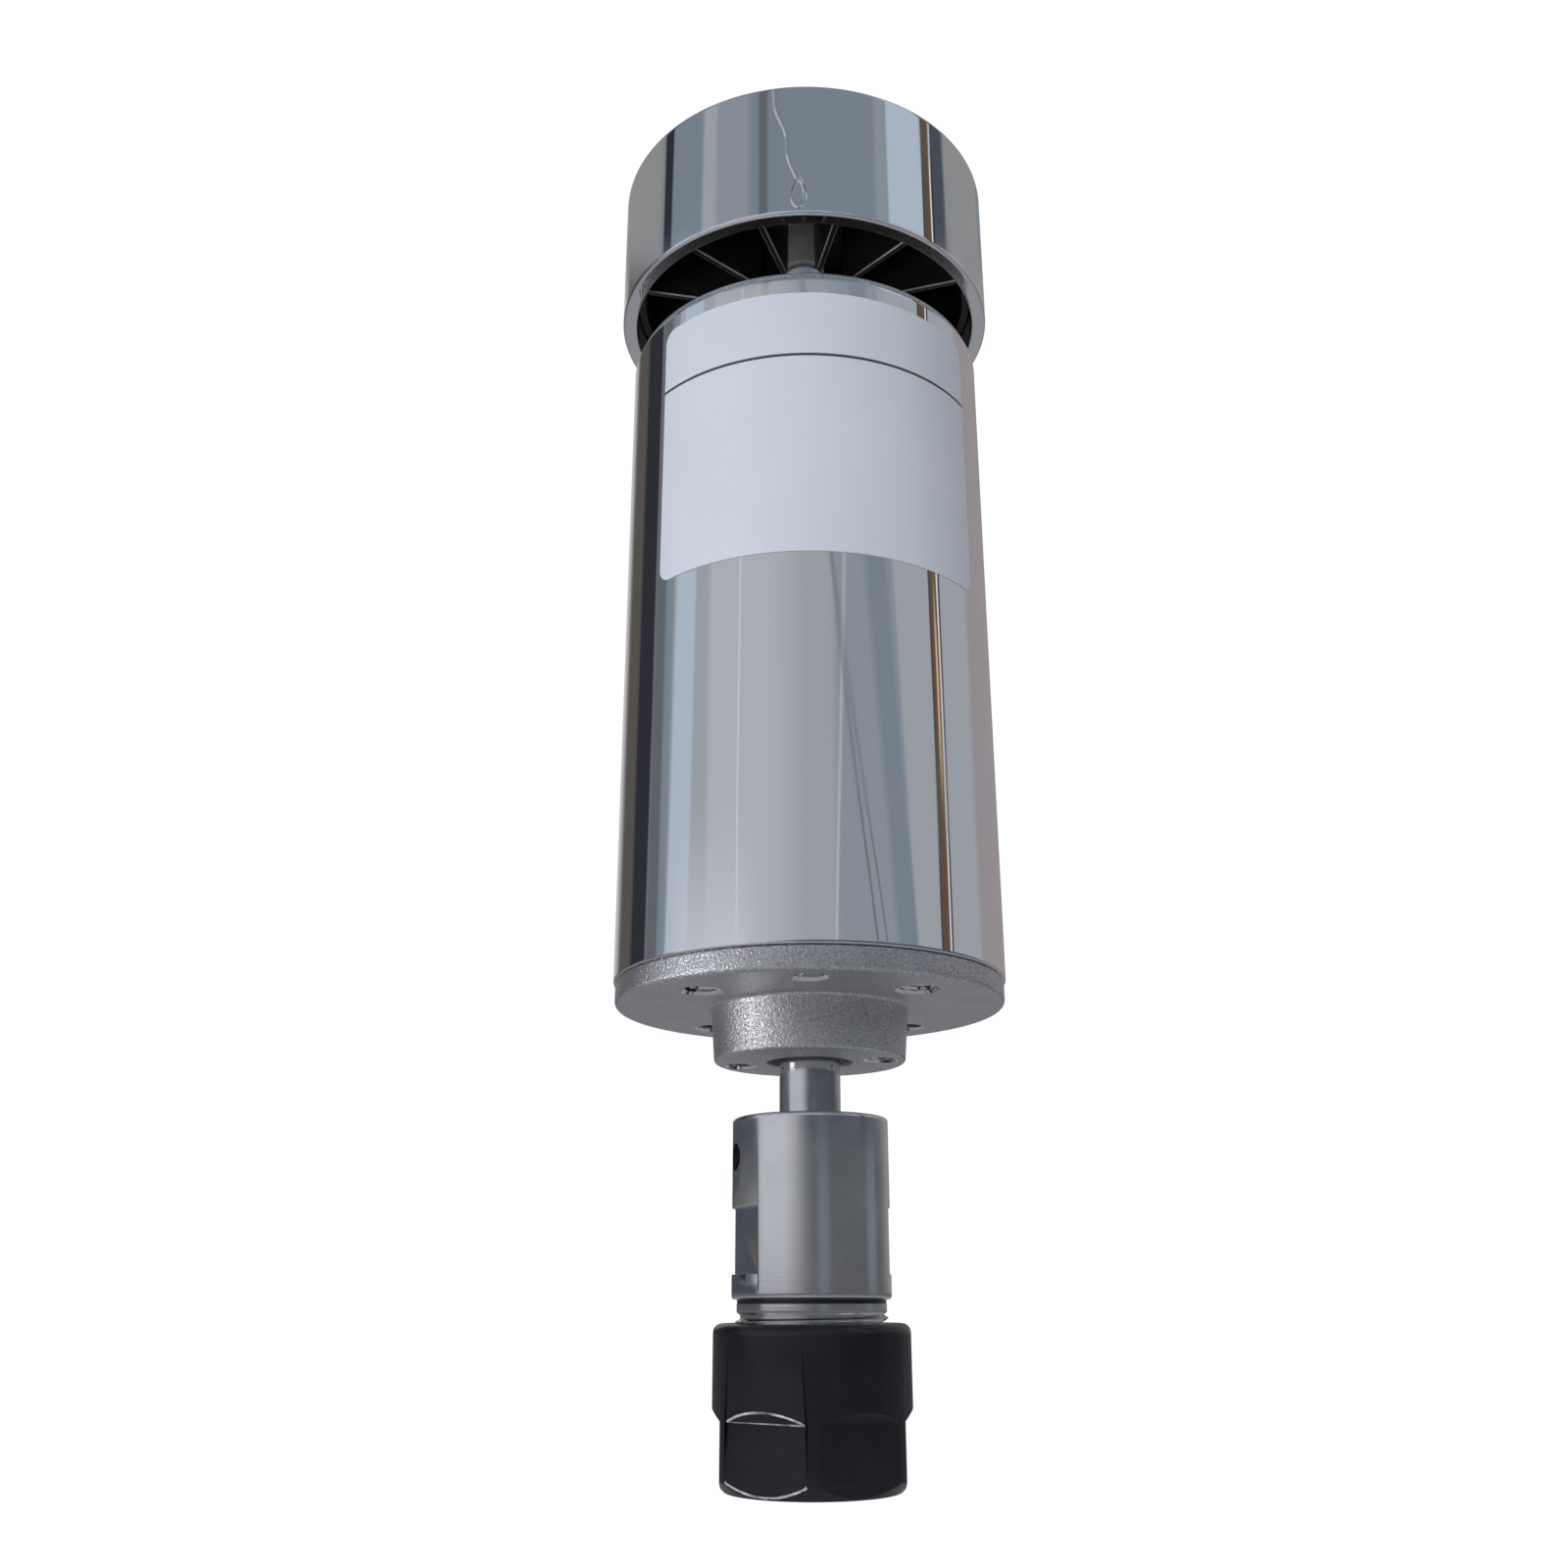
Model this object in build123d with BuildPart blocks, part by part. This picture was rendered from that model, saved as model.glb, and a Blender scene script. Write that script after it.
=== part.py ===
from build123d import *
import os
from math import cos, radians, sin, tan

# Brushed DC spindle motor with a 52 mm body: a cast front cap with its nose, a steel body tube,
# an armature on two ball bearings, a cooling fan on the rear shaft, and a collet holder with its
# collet and nut on the front shaft.
#
# Millimetres. +Z runs along the spindle from the tool end to the fan. The origin is on the axis,
# in the front mounting face, so the nose, holder and nut lie below it. An azimuth is measured
# round the axis in degrees, from -Y towards +X.

os.makedirs("parts", exist_ok=True)

# ------------------------------------------------------------------ fits
press_gap = 0.02            # between pieces that are pressed or located together
running_gap = 0.06          # between round pieces that turn or slide on each other
sliding_gap = 0.1           # round a brush in its tube

# ------------------------------------------------------------------ body tube and end caps
body_radius = 26.0
tube_wall = 2.0
tube_length = 94.0
tube_top_round = 0.4
tube_bottom_round = 0.2
spigot_depth = 4.0          # how far the front cap reaches into the tube
front_flange_thickness = 3.1
front_flange_inset = 0.25   # step from the tube down to the flange
front_flange_round = 0.7
spigot_ring_width = 8.0
rear_flange_thickness = 1.0
rear_flange_inset = 0.45
rear_flange_round = 0.35
rear_floor_thickness = 4.0
rear_spigot_depth = 8.3     # how far the rear cap reaches into the tube
rear_spigot_ring_width = 5.5

# ------------------------------------------------------------------ nose of the front cap
nose_length = 7.0
nose_root_radius = 13.0
nose_draft = 3.7            # degrees, the taper of the casting
nose_root_round = 0.5
nose_tip_chamfer = 0.5
nose_lip = 3.0              # wall between the nose face and the bearing
nose_hole_radius = 5.6

# ------------------------------------------------------------------ holes in the front cap
mount_circle_radius = 19.0
mount_hole_radius = 2.1
mount_hole_depth = 6.2
mount_first_azimuth = 45.0
nose_circle_radius = 9.5
nose_screw_hole_radius = 1.65
nose_screw_hole_depth = 2.4
nose_first_azimuth = -105.0
bolt_inset = 4.7            # from the body's outside to the middle of a long bolt
bolt_radius = 2.0
bolt_hole_chamfer = 0.4
bolt_tip_recess = 1.0       # the bolt ends stop this far inside the mounting face
bolt_head_radius = 3.4
bolt_head_height = 2.2
bolt_head_round = 0.8
bolt_clearance = 0.2

# ------------------------------------------------------------------ ball bearings
front_bearing_bore = 8.0
front_bearing_outside = 22.0
front_bearing_width = 7.0
front_ball_diameter = 3.97
front_ball_count = 7
rear_bearing_bore = 5.0
rear_bearing_outside = 16.0
rear_bearing_width = 5.0
rear_ball_diameter = 3.0
rear_ball_count = 7
shield_thickness = 0.2
shield_recess = 0.15
cage_thickness = 1.0
cage_rim = 0.4
rear_boss_wall = 2.2
rear_boss_height = 1.2      # above the rear cap
rear_boss_lip = 1.9
rear_hole_clearance = 1.5
washer_thickness = 0.3
washer_width = 2.2

# ------------------------------------------------------------------ magnets and armature
magnet_thickness = 5.4
magnet_overhang = 2.5       # past each end of the core
magnet_gap = 18.0           # free width between the two arcs, where the bolts pass
air_gap = 0.6
core_start = 14.0           # from the front bearing to the core
slot_count = 12
slot_radius = 2.3
slot_mouth = 1.8
slot_rim = 2.5              # iron between a slot and the outside of the core
end_plate_thickness = 1.0
end_plate_inset = 0.5
winding_clearance = 0.15
winding_height = 6.8
winding_gap = 1.0           # round the spacer
winding_inset = 2.0         # from the outside of the core to the end turns
winding_round = 2.4
spacer_wall = 2.0

# ------------------------------------------------------------------ commutator and brushes
commutator_radius = 9.0
commutator_length = 12.0
commutator_gap = 9.0        # from the core to the commutator
commutator_sleeve_wall = 2.0
commutator_slit = 0.5
riser_height = 2.0
riser_length = 1.2
sleeve_overhang = 0.5
brush_width = 5.0
brush_height = 7.0
brush_offset = 7.0          # from the commutator's start to the middle of the brushes
brush_tube_wall = 0.6
brush_tube_start = 2.0      # gap between the commutator and the mouth of the brush tube
brush_tube_inset = 2.1      # from the body tube's bore to the closed end of the brush tube
brush_spring_length = 3.2
brush_spring_radius = 1.9
brush_spring_wire = 0.5
brush_spring_turns = 3.5
brush_plate_thickness = 1.6
brush_plate_hole_clearance = 1.8

# ------------------------------------------------------------------ shaft, fan and terminals
fan_gap = 7.7               # from the top of the motor to the lower rim of the fan
fan_radius = 28.15
fan_height = 22.6
fan_ring_wall = 2.15
fan_ring_round = 0.4
fan_top_recess = 0.2        # the roof lies this far below the top of the ring
fan_roof = 1.8
fan_skirt_wall = 1.3
blade_recess = 4.6          # the blades stop this far inside the lower rim
blade_thickness = 1.2
blade_inner_radius = 9.0
blade_count = 12
blade_first_azimuth = 13.0
bush_wall = 0.8
bush_length = 10.2
bush_flange_thickness = 0.8
bush_flange_step = 0.3
shaft_top_recess = 0.4
terminal_radius = 14.5
terminal_azimuth = 150.0
terminal_width = 4.8
terminal_thickness = 0.8
terminal_height = 5.9
terminal_stem_radius = 1.0
insulator_radius = 2.5
insulator_flange = 1.1
insulator_height = 1.0

# ------------------------------------------------------------------ collet, holder and nut
nose_to_holder = 7.25       # bare shaft between the nose and the holder
holder_radius = 10.0
holder_length = 22.0        # its full diameter, down to the neck
holder_chamfer = 0.4
holder_shaft_depth = 13.3
flat_across = 17.0
flat_height = 8.0
flat_start = 11.05          # from the top of the holder to the wrench flats
flat_azimuth = -72.0
screw_hole_radius = 1.7
screw_offset = 4.95         # from the top of the holder to the set screws
screw_recess = 2.0
screw_socket_across = 2.0
screw_socket_depth = 1.6
thread_radius = 9.5
neck_relief_length = 1.5
neck_relief_depth = 0.15
thread_length = 14.65       # from the shoulder of the holder to its front face
collet_length = 27.5
collet_rim_radius = 8.5
collet_gauge_radius = 8.0
collet_gauge_offset = 6.26  # from the collet's front face to the gauge line of its taper
collet_taper = 8.0          # degrees
collet_nose_angle = 30.0    # degrees
collet_nose_length = 2.77
collet_rim_width = 0.33
collet_groove_radius = 6.9
collet_groove_width = 1.5
collet_groove_wall = 0.3
collet_back_chamfer = 0.5
collet_slit = 0.6
collet_slit_count = 8
collet_slit_margin = 4.0    # left standing at the end of each slit
tool_radius = 3.0
mouth_setback = 0.24        # from the gauge line to the front face of the holder
nut_radius = 12.25
nut_shoulder_gap = 2.75     # neck left bare between the holder and the nut
collet_recess = 0.5         # the collet lies this far inside the front of the nut
nut_top_round = 1.1
nut_bottom_chamfer = 1.5
nut_bore_chamfer = 0.6
nut_flat_across = 22.0
nut_flat_height = 8.04      # from the front face to the run-out of the flats
nut_flat_first_azimuth = 30.0
nut_thread_run_out = 0.7    # threaded past the front of the holder
nut_relief = 0.35
nut_lip_thickness = 1.1
nut_lip_offset = 0.75       # eccentric, so that one side pulls the collet out
nut_lip_overlap = 0.65

# ------------------------------------------------------------------ rating label
label_thickness = 0.08
label_bottom = 51.4         # above the front end of the tube
label_height = 39.8
label_first_azimuth = -49.0
label_last_azimuth = 59.5
label_corner = 2.0

# ------------------------------------------------------------------ radii worked out
tube_bore = body_radius - tube_wall
spigot_radius = tube_bore - press_gap
spigot_bore = spigot_radius - spigot_ring_width
front_flange_radius = body_radius - front_flange_inset
rear_flange_radius = body_radius - rear_flange_inset
nose_tip_radius = nose_root_radius - nose_length * tan(radians(nose_draft))
front_shaft_radius = front_bearing_bore / 2 - press_gap
rear_shaft_radius = rear_bearing_bore / 2 - press_gap
front_seat_radius = front_bearing_outside / 2 + press_gap
rear_seat_radius = rear_bearing_outside / 2 + press_gap
rear_boss_radius = rear_seat_radius + rear_boss_wall
rear_hole_radius = rear_shaft_radius + rear_hole_clearance
rear_spigot_bore = spigot_radius - rear_spigot_ring_width
magnet_outer_radius = tube_bore - press_gap
magnet_inner_radius = magnet_outer_radius - magnet_thickness
core_radius = magnet_inner_radius - air_gap
slot_circle_radius = core_radius - slot_rim - slot_radius
bolt_circle_radius = body_radius - bolt_inset
on_shaft_radius = front_shaft_radius + press_gap
spacer_radius = on_shaft_radius + spacer_wall
winding_inner_radius = spacer_radius + winding_gap
winding_outer_radius = core_radius - winding_inset
commutator_bore = on_shaft_radius + commutator_sleeve_wall
fan_bore = fan_radius - fan_ring_wall
skirt_radius = fan_bore - press_gap
skirt_bore = skirt_radius - fan_skirt_wall
bush_bore = rear_shaft_radius + press_gap
bush_radius = bush_bore + bush_wall

# ------------------------------------------------------------------ heights worked out
tube_bottom = front_flange_thickness
tube_top = tube_bottom + tube_length
motor_top = tube_top + rear_flange_thickness
spigot_top = tube_bottom + spigot_depth
nose_tip = -nose_length
front_bearing_bottom = nose_tip + nose_lip
front_bearing_top = front_bearing_bottom + front_bearing_width
rear_spigot_bottom = tube_top - rear_spigot_depth
brush_plate_bottom = rear_spigot_bottom - brush_plate_thickness
brush_tube_half = brush_height / 2 + sliding_gap + brush_tube_wall
brush_middle = brush_plate_bottom - brush_tube_half
commutator_bottom = brush_middle - brush_offset
commutator_top = commutator_bottom + commutator_length
core_bottom = front_bearing_top + core_start
core_top = commutator_bottom - commutator_gap
core_length = core_top - core_bottom
rear_floor = motor_top - rear_floor_thickness
rear_boss_top = motor_top + rear_boss_height
rear_bearing_top = rear_boss_top - rear_boss_lip - washer_thickness
rear_bearing_bottom = rear_bearing_top - rear_bearing_width
fan_bottom = motor_top + fan_gap
fan_top = fan_bottom + fan_height
roof_top = fan_top - fan_top_recess
roof_bottom = roof_top - fan_roof
blade_bottom = fan_bottom + blade_recess
bush_bottom = roof_top - bush_length
shaft_top = roof_top - shaft_top_recess
holder_top = nose_tip - nose_to_holder
holder_shoulder = holder_top - holder_length
holder_front = holder_shoulder - thread_length
shaft_bottom = holder_top - holder_shaft_depth
collet_front = holder_front - mouth_setback - collet_gauge_offset
collet_back = collet_front + collet_length
nut_top = holder_shoulder - nut_shoulder_gap
nut_front = collet_front - collet_recess
screw_height = holder_top - screw_offset
flat_top = holder_top - flat_start


def polar_angle(azimuth):
    """Angle from +X that stands for an azimuth from -Y."""
    return azimuth - 90


def radial_plane(azimuth, height=0.0):
    """Plane through the axis: its x axis runs outwards at the azimuth, its y axis is +Z."""
    outwards = Vector(sin(radians(azimuth)), -cos(radians(azimuth)), 0)
    return Plane(origin=(0, 0, height), x_dir=outwards, z_dir=outwards.cross(Vector(0, 0, 1)))


def facing_plane(azimuth, height):
    """Plane across the direction of the azimuth, at the axis: its normal points outwards."""
    outwards = Vector(sin(radians(azimuth)), -cos(radians(azimuth)), 0)
    return Plane(origin=(0, 0, height), x_dir=outwards.cross(Vector(0, 0, 1)), z_dir=outwards)


def rim(piece, radius, height):
    """Circular edges of a piece about the spindle axis, found by radius and height."""
    circles = piece.edges().filter_by(GeomType.CIRCLE)
    return circles.filter_by(
        lambda edge: abs(edge.radius - radius) < 0.001 and abs(edge.arc_center.Z - height) < 0.001
    )


def turned(*outline):
    """Piece turned about the spindle axis from a closed outline of (radius, height) points."""
    with BuildPart() as piece:
        with BuildSketch(Plane.XZ):
            with BuildLine():
                Polyline(*outline, close=True)
            make_face()
        revolve(axis=Axis.Z)
    return piece


def collar(bottom, top, bore, outside):
    """Plain ring between two heights."""
    return turned((bore, bottom), (outside, bottom), (outside, top), (bore, top))


def bearing_ring(inside, outside, width, middle, pitch_radius, groove_radius):
    """Ring of a ball bearing, with the groove that the balls run in."""
    with BuildPart() as ring:
        with BuildSketch(Plane.XZ):
            with Locations(((inside + outside) / 2, middle)):
                Rectangle(outside - inside, width)
            with Locations((pitch_radius, middle)):
                Circle(groove_radius, mode=Mode.SUBTRACT)
        revolve(axis=Axis.Z)
    return ring


def ball_bearing(bore, outside, width, ball_diameter, ball_count, bottom):
    """Deep-groove ball bearing: its rings, shields, balls and crown cage."""
    ball_radius = ball_diameter / 2
    pitch_radius = (bore + outside) / 4
    middle = bottom + width / 2
    top = bottom + width
    inner_land = pitch_radius - ball_radius / 2
    outer_land = pitch_radius + ball_radius / 2
    groove_radius = ball_radius + running_gap
    outer_ring = bearing_ring(outer_land, outside / 2, width, middle, pitch_radius, groove_radius)
    inner_ring = bearing_ring(bore / 2, inner_land, width, middle, pitch_radius, groove_radius)

    with BuildPart() as shields:
        for level in (bottom + shield_recess, top - shield_recess - shield_thickness):
            with BuildSketch(Plane.XY.offset(level)):
                Circle(outer_land)
                Circle(inner_land + 2 * running_gap, mode=Mode.SUBTRACT)
            extrude(amount=shield_thickness)

    with BuildPart() as balls:
        with Locations((0, 0, middle)):
            with PolarLocations(pitch_radius, ball_count):
                Sphere(ball_radius)

    cage_top = middle + groove_radius + cage_rim
    with BuildPart() as cage:
        with BuildSketch(Plane.XY.offset(middle - ball_radius / 2)):
            Circle(pitch_radius + cage_thickness / 2)
            Circle(pitch_radius - cage_thickness / 2, mode=Mode.SUBTRACT)
        extrude(amount=cage_top - middle + ball_radius / 2)
        with Locations((0, 0, middle)):
            with PolarLocations(pitch_radius, ball_count):
                Sphere(groove_radius, mode=Mode.SUBTRACT)

    return {
        "outer_ring": outer_ring,
        "inner_ring": inner_ring,
        "shields": shields,
        "balls": balls,
        "cage": cage,
    }


# ------------------------------------------------------------------ body tube
with BuildPart() as motor_tube:
    with BuildSketch(Plane.XY.offset(tube_bottom)):
        Circle(body_radius)
        Circle(tube_bore, mode=Mode.SUBTRACT)
    extrude(amount=tube_length)
    fillet(rim(motor_tube, body_radius, tube_top), tube_top_round)
    fillet(rim(motor_tube, body_radius, tube_bottom), tube_bottom_round)

# ------------------------------------------------------------------ front cap, cast with its nose
with BuildPart() as front_end_cap:
    with BuildSketch(Plane.XZ):
        with BuildLine():
            Polyline(
                (nose_hole_radius, nose_tip),
                (nose_tip_radius, nose_tip),
                (nose_root_radius, 0),
                (front_flange_radius, 0),
                (front_flange_radius, tube_bottom),
                (spigot_radius, tube_bottom),
                (spigot_radius, spigot_top),
                (spigot_bore, spigot_top),
                (spigot_bore, front_bearing_top),
                (front_seat_radius, front_bearing_top),
                (front_seat_radius, front_bearing_bottom),
                (nose_hole_radius, front_bearing_bottom),
                close=True,
            )
        make_face()
    revolve(axis=Axis.Z)
    fillet(rim(front_end_cap, front_flange_radius, 0), front_flange_round)
    fillet(rim(front_end_cap, nose_root_radius, 0), nose_root_round)
    chamfer(rim(front_end_cap, nose_tip_radius, nose_tip), nose_tip_chamfer)
    # tapped holes in the mounting face and in the nose
    with BuildSketch(Plane.XY):
        with PolarLocations(mount_circle_radius, 4, start_angle=polar_angle(mount_first_azimuth)):
            Circle(mount_hole_radius)
    extrude(amount=mount_hole_depth, mode=Mode.SUBTRACT)
    with BuildSketch(Plane.XY.offset(nose_tip)):
        with PolarLocations(nose_circle_radius, 2, start_angle=polar_angle(nose_first_azimuth)):
            Circle(nose_screw_hole_radius)
    extrude(amount=nose_screw_hole_depth, mode=Mode.SUBTRACT)
    # tapped holes for the long bolts, open to the mounting face
    with BuildSketch(Plane.XY):
        with PolarLocations(bolt_circle_radius, 2, start_angle=polar_angle(0)):
            Circle(bolt_radius + press_gap)
    extrude(amount=spigot_top, mode=Mode.SUBTRACT)
    bolt_mouths = front_end_cap.edges().filter_by(GeomType.CIRCLE).filter_by(
        lambda edge: abs(edge.radius - bolt_radius - press_gap) < 0.001 and abs(edge.arc_center.Z) < 0.001
    )
    chamfer(bolt_mouths, bolt_hole_chamfer)

# ------------------------------------------------------------------ rear cap
with BuildPart() as rear_end_cap:
    with BuildSketch(Plane.XZ):
        with BuildLine():
            Polyline(
                (rear_hole_radius, rear_boss_top),
                (rear_boss_radius, rear_boss_top),
                (rear_boss_radius, motor_top),
                (rear_flange_radius, motor_top),
                (rear_flange_radius, tube_top),
                (spigot_radius, tube_top),
                (spigot_radius, rear_spigot_bottom),
                (rear_spigot_bore, rear_spigot_bottom),
                (rear_spigot_bore, rear_floor),
                (rear_boss_radius, rear_floor),
                (rear_boss_radius, rear_bearing_bottom),
                (rear_seat_radius, rear_bearing_bottom),
                (rear_seat_radius, rear_bearing_top + washer_thickness),
                (rear_hole_radius, rear_bearing_top + washer_thickness),
                close=True,
            )
        make_face()
    revolve(axis=Axis.Z)
    fillet(rim(rear_end_cap, rear_flange_radius, motor_top), rear_flange_round)
    with BuildSketch(Plane.XY.offset(rear_spigot_bottom)):
        with PolarLocations(bolt_circle_radius, 2, start_angle=polar_angle(0)):
            Circle(bolt_radius + bolt_clearance)
    extrude(amount=motor_top - rear_spigot_bottom, mode=Mode.SUBTRACT)
    with BuildSketch(Plane.XY.offset(rear_floor)):
        for azimuth in (terminal_azimuth, -terminal_azimuth):
            with PolarLocations(terminal_radius, 1, start_angle=polar_angle(azimuth)):
                Circle(insulator_radius + press_gap)
    extrude(amount=rear_floor_thickness, mode=Mode.SUBTRACT)

# ------------------------------------------------------------------ bolts that clamp the caps
with BuildPart() as through_bolts:
    with BuildSketch(Plane.XY.offset(bolt_tip_recess)):
        with PolarLocations(bolt_circle_radius, 2, start_angle=polar_angle(0)):
            Circle(bolt_radius)
    extrude(amount=motor_top - bolt_tip_recess)
    with BuildSketch(Plane.XY.offset(motor_top)):
        with PolarLocations(bolt_circle_radius, 2, start_angle=polar_angle(0)):
            Circle(bolt_head_radius)
    extrude(amount=bolt_head_height)
    fillet(through_bolts.edges().filter_by(GeomType.CIRCLE).group_by(Axis.Z)[-1], bolt_head_round)

# ------------------------------------------------------------------ field magnets
with BuildPart() as magnets:
    with BuildSketch(Plane.XY.offset(core_bottom - magnet_overhang)):
        Circle(magnet_outer_radius)
        Circle(magnet_inner_radius, mode=Mode.SUBTRACT)
        Rectangle(magnet_gap, 2 * body_radius, mode=Mode.SUBTRACT)
    extrude(amount=core_length + 2 * magnet_overhang)

# ------------------------------------------------------------------ bearings and their preload
front_set = ball_bearing(
    front_bearing_bore,
    front_bearing_outside,
    front_bearing_width,
    front_ball_diameter,
    front_ball_count,
    front_bearing_bottom,
)
rear_set = ball_bearing(
    rear_bearing_bore,
    rear_bearing_outside,
    rear_bearing_width,
    rear_ball_diameter,
    rear_ball_count,
    rear_bearing_bottom,
)
preload_washer = collar(
    rear_bearing_top,
    rear_bearing_top + washer_thickness,
    rear_seat_radius - washer_width,
    rear_seat_radius - press_gap,
)

# ------------------------------------------------------------------ shaft
with BuildPart() as motor_shaft:
    with BuildSketch(Plane.XY.offset(shaft_bottom)):
        Circle(front_shaft_radius)
    extrude(amount=rear_bearing_bottom - shaft_bottom)
    with BuildSketch(Plane.XY.offset(rear_bearing_bottom)):
        Circle(rear_shaft_radius)
    extrude(amount=shaft_top - rear_bearing_bottom)
    chamfer(rim(motor_shaft, front_shaft_radius, shaft_bottom), 0.1 * front_shaft_radius)
    chamfer(rim(motor_shaft, rear_shaft_radius, shaft_top), 0.1 * rear_shaft_radius)

# ------------------------------------------------------------------ laminated core and its windings
with BuildPart() as armature_core:
    with BuildSketch(Plane.XY.offset(core_bottom)):
        Circle(core_radius)
        Circle(on_shaft_radius, mode=Mode.SUBTRACT)
        with PolarLocations(slot_circle_radius, slot_count):
            Circle(slot_radius, mode=Mode.SUBTRACT)
        with PolarLocations(slot_circle_radius, slot_count):
            Rectangle(core_radius, slot_mouth, align=(Align.MIN, Align.CENTER), mode=Mode.SUBTRACT)
    extrude(amount=core_length)

with BuildPart() as armature_end_plates:
    for level in (core_bottom - end_plate_thickness, core_top):
        with BuildSketch(Plane.XY.offset(level)):
            Circle(core_radius - end_plate_inset)
            Circle(on_shaft_radius, mode=Mode.SUBTRACT)
            with PolarLocations(slot_circle_radius, slot_count):
                Circle(slot_radius, mode=Mode.SUBTRACT)
            with PolarLocations(slot_circle_radius, slot_count):
                Rectangle(core_radius, slot_mouth, align=(Align.MIN, Align.CENTER), mode=Mode.SUBTRACT)
        extrude(amount=end_plate_thickness)

winding_bottom = core_bottom - end_plate_thickness - winding_height
winding_top = core_top + end_plate_thickness + winding_height
with BuildPart() as armature_windings:
    with BuildSketch(Plane.XY.offset(winding_bottom)):
        Circle(winding_outer_radius)
        Circle(winding_inner_radius, mode=Mode.SUBTRACT)
    extrude(amount=winding_height)
    fillet(rim(armature_windings, winding_outer_radius, winding_bottom), winding_round)
    with BuildSketch(Plane.XY.offset(winding_top - winding_height)):
        Circle(winding_outer_radius)
        Circle(winding_inner_radius, mode=Mode.SUBTRACT)
    extrude(amount=winding_height)
    fillet(rim(armature_windings, winding_outer_radius, winding_top), winding_round)
    with BuildSketch(Plane.XY.offset(winding_bottom + winding_height)):
        with PolarLocations(slot_circle_radius, slot_count):
            Circle(slot_radius - winding_clearance)
    extrude(amount=core_length + 2 * end_plate_thickness)

shaft_spacer = collar(
    front_bearing_top,
    core_bottom - end_plate_thickness,
    on_shaft_radius,
    spacer_radius,
)

# ------------------------------------------------------------------ commutator
commutator_sleeve = collar(
    commutator_bottom - sleeve_overhang,
    commutator_top + sleeve_overhang,
    on_shaft_radius,
    commutator_bore,
)

with BuildPart() as commutator_segments:
    for outer, top in (
        (commutator_radius, commutator_top),
        (commutator_radius + riser_height, commutator_bottom + riser_length),
    ):
        with BuildSketch(Plane.XY.offset(commutator_bottom)):
            Circle(outer)
            Circle(commutator_bore, mode=Mode.SUBTRACT)
            with PolarLocations(outer, slot_count, start_angle=180 / slot_count):
                Rectangle(2 * outer - commutator_bore, commutator_slit, mode=Mode.SUBTRACT)
        extrude(amount=top - commutator_bottom)

# ------------------------------------------------------------------ brush gear
brush_start = commutator_radius + running_gap
brush_tube_mouth = commutator_radius + brush_tube_start
brush_tube_back = tube_bore - brush_tube_inset - brush_tube_wall
brush_end = brush_tube_back - brush_spring_length
brush_cell_width = brush_width + 2 * sliding_gap
brush_cell_height = brush_height + 2 * sliding_gap


def brush(azimuth):
    """Carbon brush, hollowed at its end to the curve of the commutator."""
    with BuildPart() as piece:
        with BuildSketch(facing_plane(azimuth, brush_middle)):
            Rectangle(brush_width, brush_height)
        extrude(amount=brush_end)
        with BuildSketch(Plane.XY.offset(brush_middle - brush_height)):
            Circle(brush_start)
        extrude(amount=2 * brush_height, mode=Mode.SUBTRACT)
    return piece


def brush_spring(azimuth):
    """Coil spring that presses a brush inwards, seated in the closed end of its tube."""
    outwards = facing_plane(azimuth, brush_middle).z_dir
    start = Vector(0, 0, brush_middle) + outwards * (brush_end + brush_spring_wire)
    height = brush_spring_length - 2 * brush_spring_wire
    with BuildPart() as piece:
        with BuildLine() as coil:
            Helix(
                pitch=height / brush_spring_turns,
                height=height,
                radius=brush_spring_radius,
                center=start,
                direction=outwards,
            )
        with BuildSketch(Plane(origin=coil.line @ 0, z_dir=coil.line % 0)):
            Circle(brush_spring_wire / 2)
        sweep(path=coil.line)
    return piece


brush_right = brush(90)
brush_left = brush(-90)
brush_spring_right = brush_spring(90)
brush_spring_left = brush_spring(-90)

with BuildPart() as brush_tubes:
    for azimuth in (90, -90):
        across = facing_plane(azimuth, brush_middle)
        with BuildSketch(across.offset(brush_tube_mouth)):
            Rectangle(brush_cell_width + 2 * brush_tube_wall, brush_cell_height + 2 * brush_tube_wall)
            Rectangle(brush_cell_width, brush_cell_height, mode=Mode.SUBTRACT)
        extrude(amount=brush_tube_back - brush_tube_mouth)
        with BuildSketch(across.offset(brush_tube_back)):
            Rectangle(brush_cell_width + 2 * brush_tube_wall, brush_cell_height + 2 * brush_tube_wall)
        extrude(amount=brush_tube_wall)

with BuildPart() as brush_plate:
    with BuildSketch(Plane.XY.offset(brush_plate_bottom)):
        Circle(spigot_radius)
        Circle(commutator_radius + brush_plate_hole_clearance, mode=Mode.SUBTRACT)
        with PolarLocations(bolt_circle_radius, 2, start_angle=polar_angle(0)):
            Circle(bolt_radius + bolt_clearance, mode=Mode.SUBTRACT)
    extrude(amount=brush_plate_thickness)

# ------------------------------------------------------------------ terminals
with BuildPart() as terminal_insulators:
    for azimuth in (terminal_azimuth, -terminal_azimuth):
        angle = polar_angle(azimuth)
        with BuildSketch(Plane.XY.offset(rear_floor)):
            with PolarLocations(terminal_radius, 1, start_angle=angle):
                Circle(insulator_radius)
                Circle(terminal_stem_radius + press_gap, mode=Mode.SUBTRACT)
        extrude(amount=rear_floor_thickness)
        with BuildSketch(Plane.XY.offset(motor_top)):
            with PolarLocations(terminal_radius, 1, start_angle=angle):
                Circle(insulator_radius + insulator_flange)
                Circle(terminal_stem_radius + press_gap, mode=Mode.SUBTRACT)
        extrude(amount=insulator_height)

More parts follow.
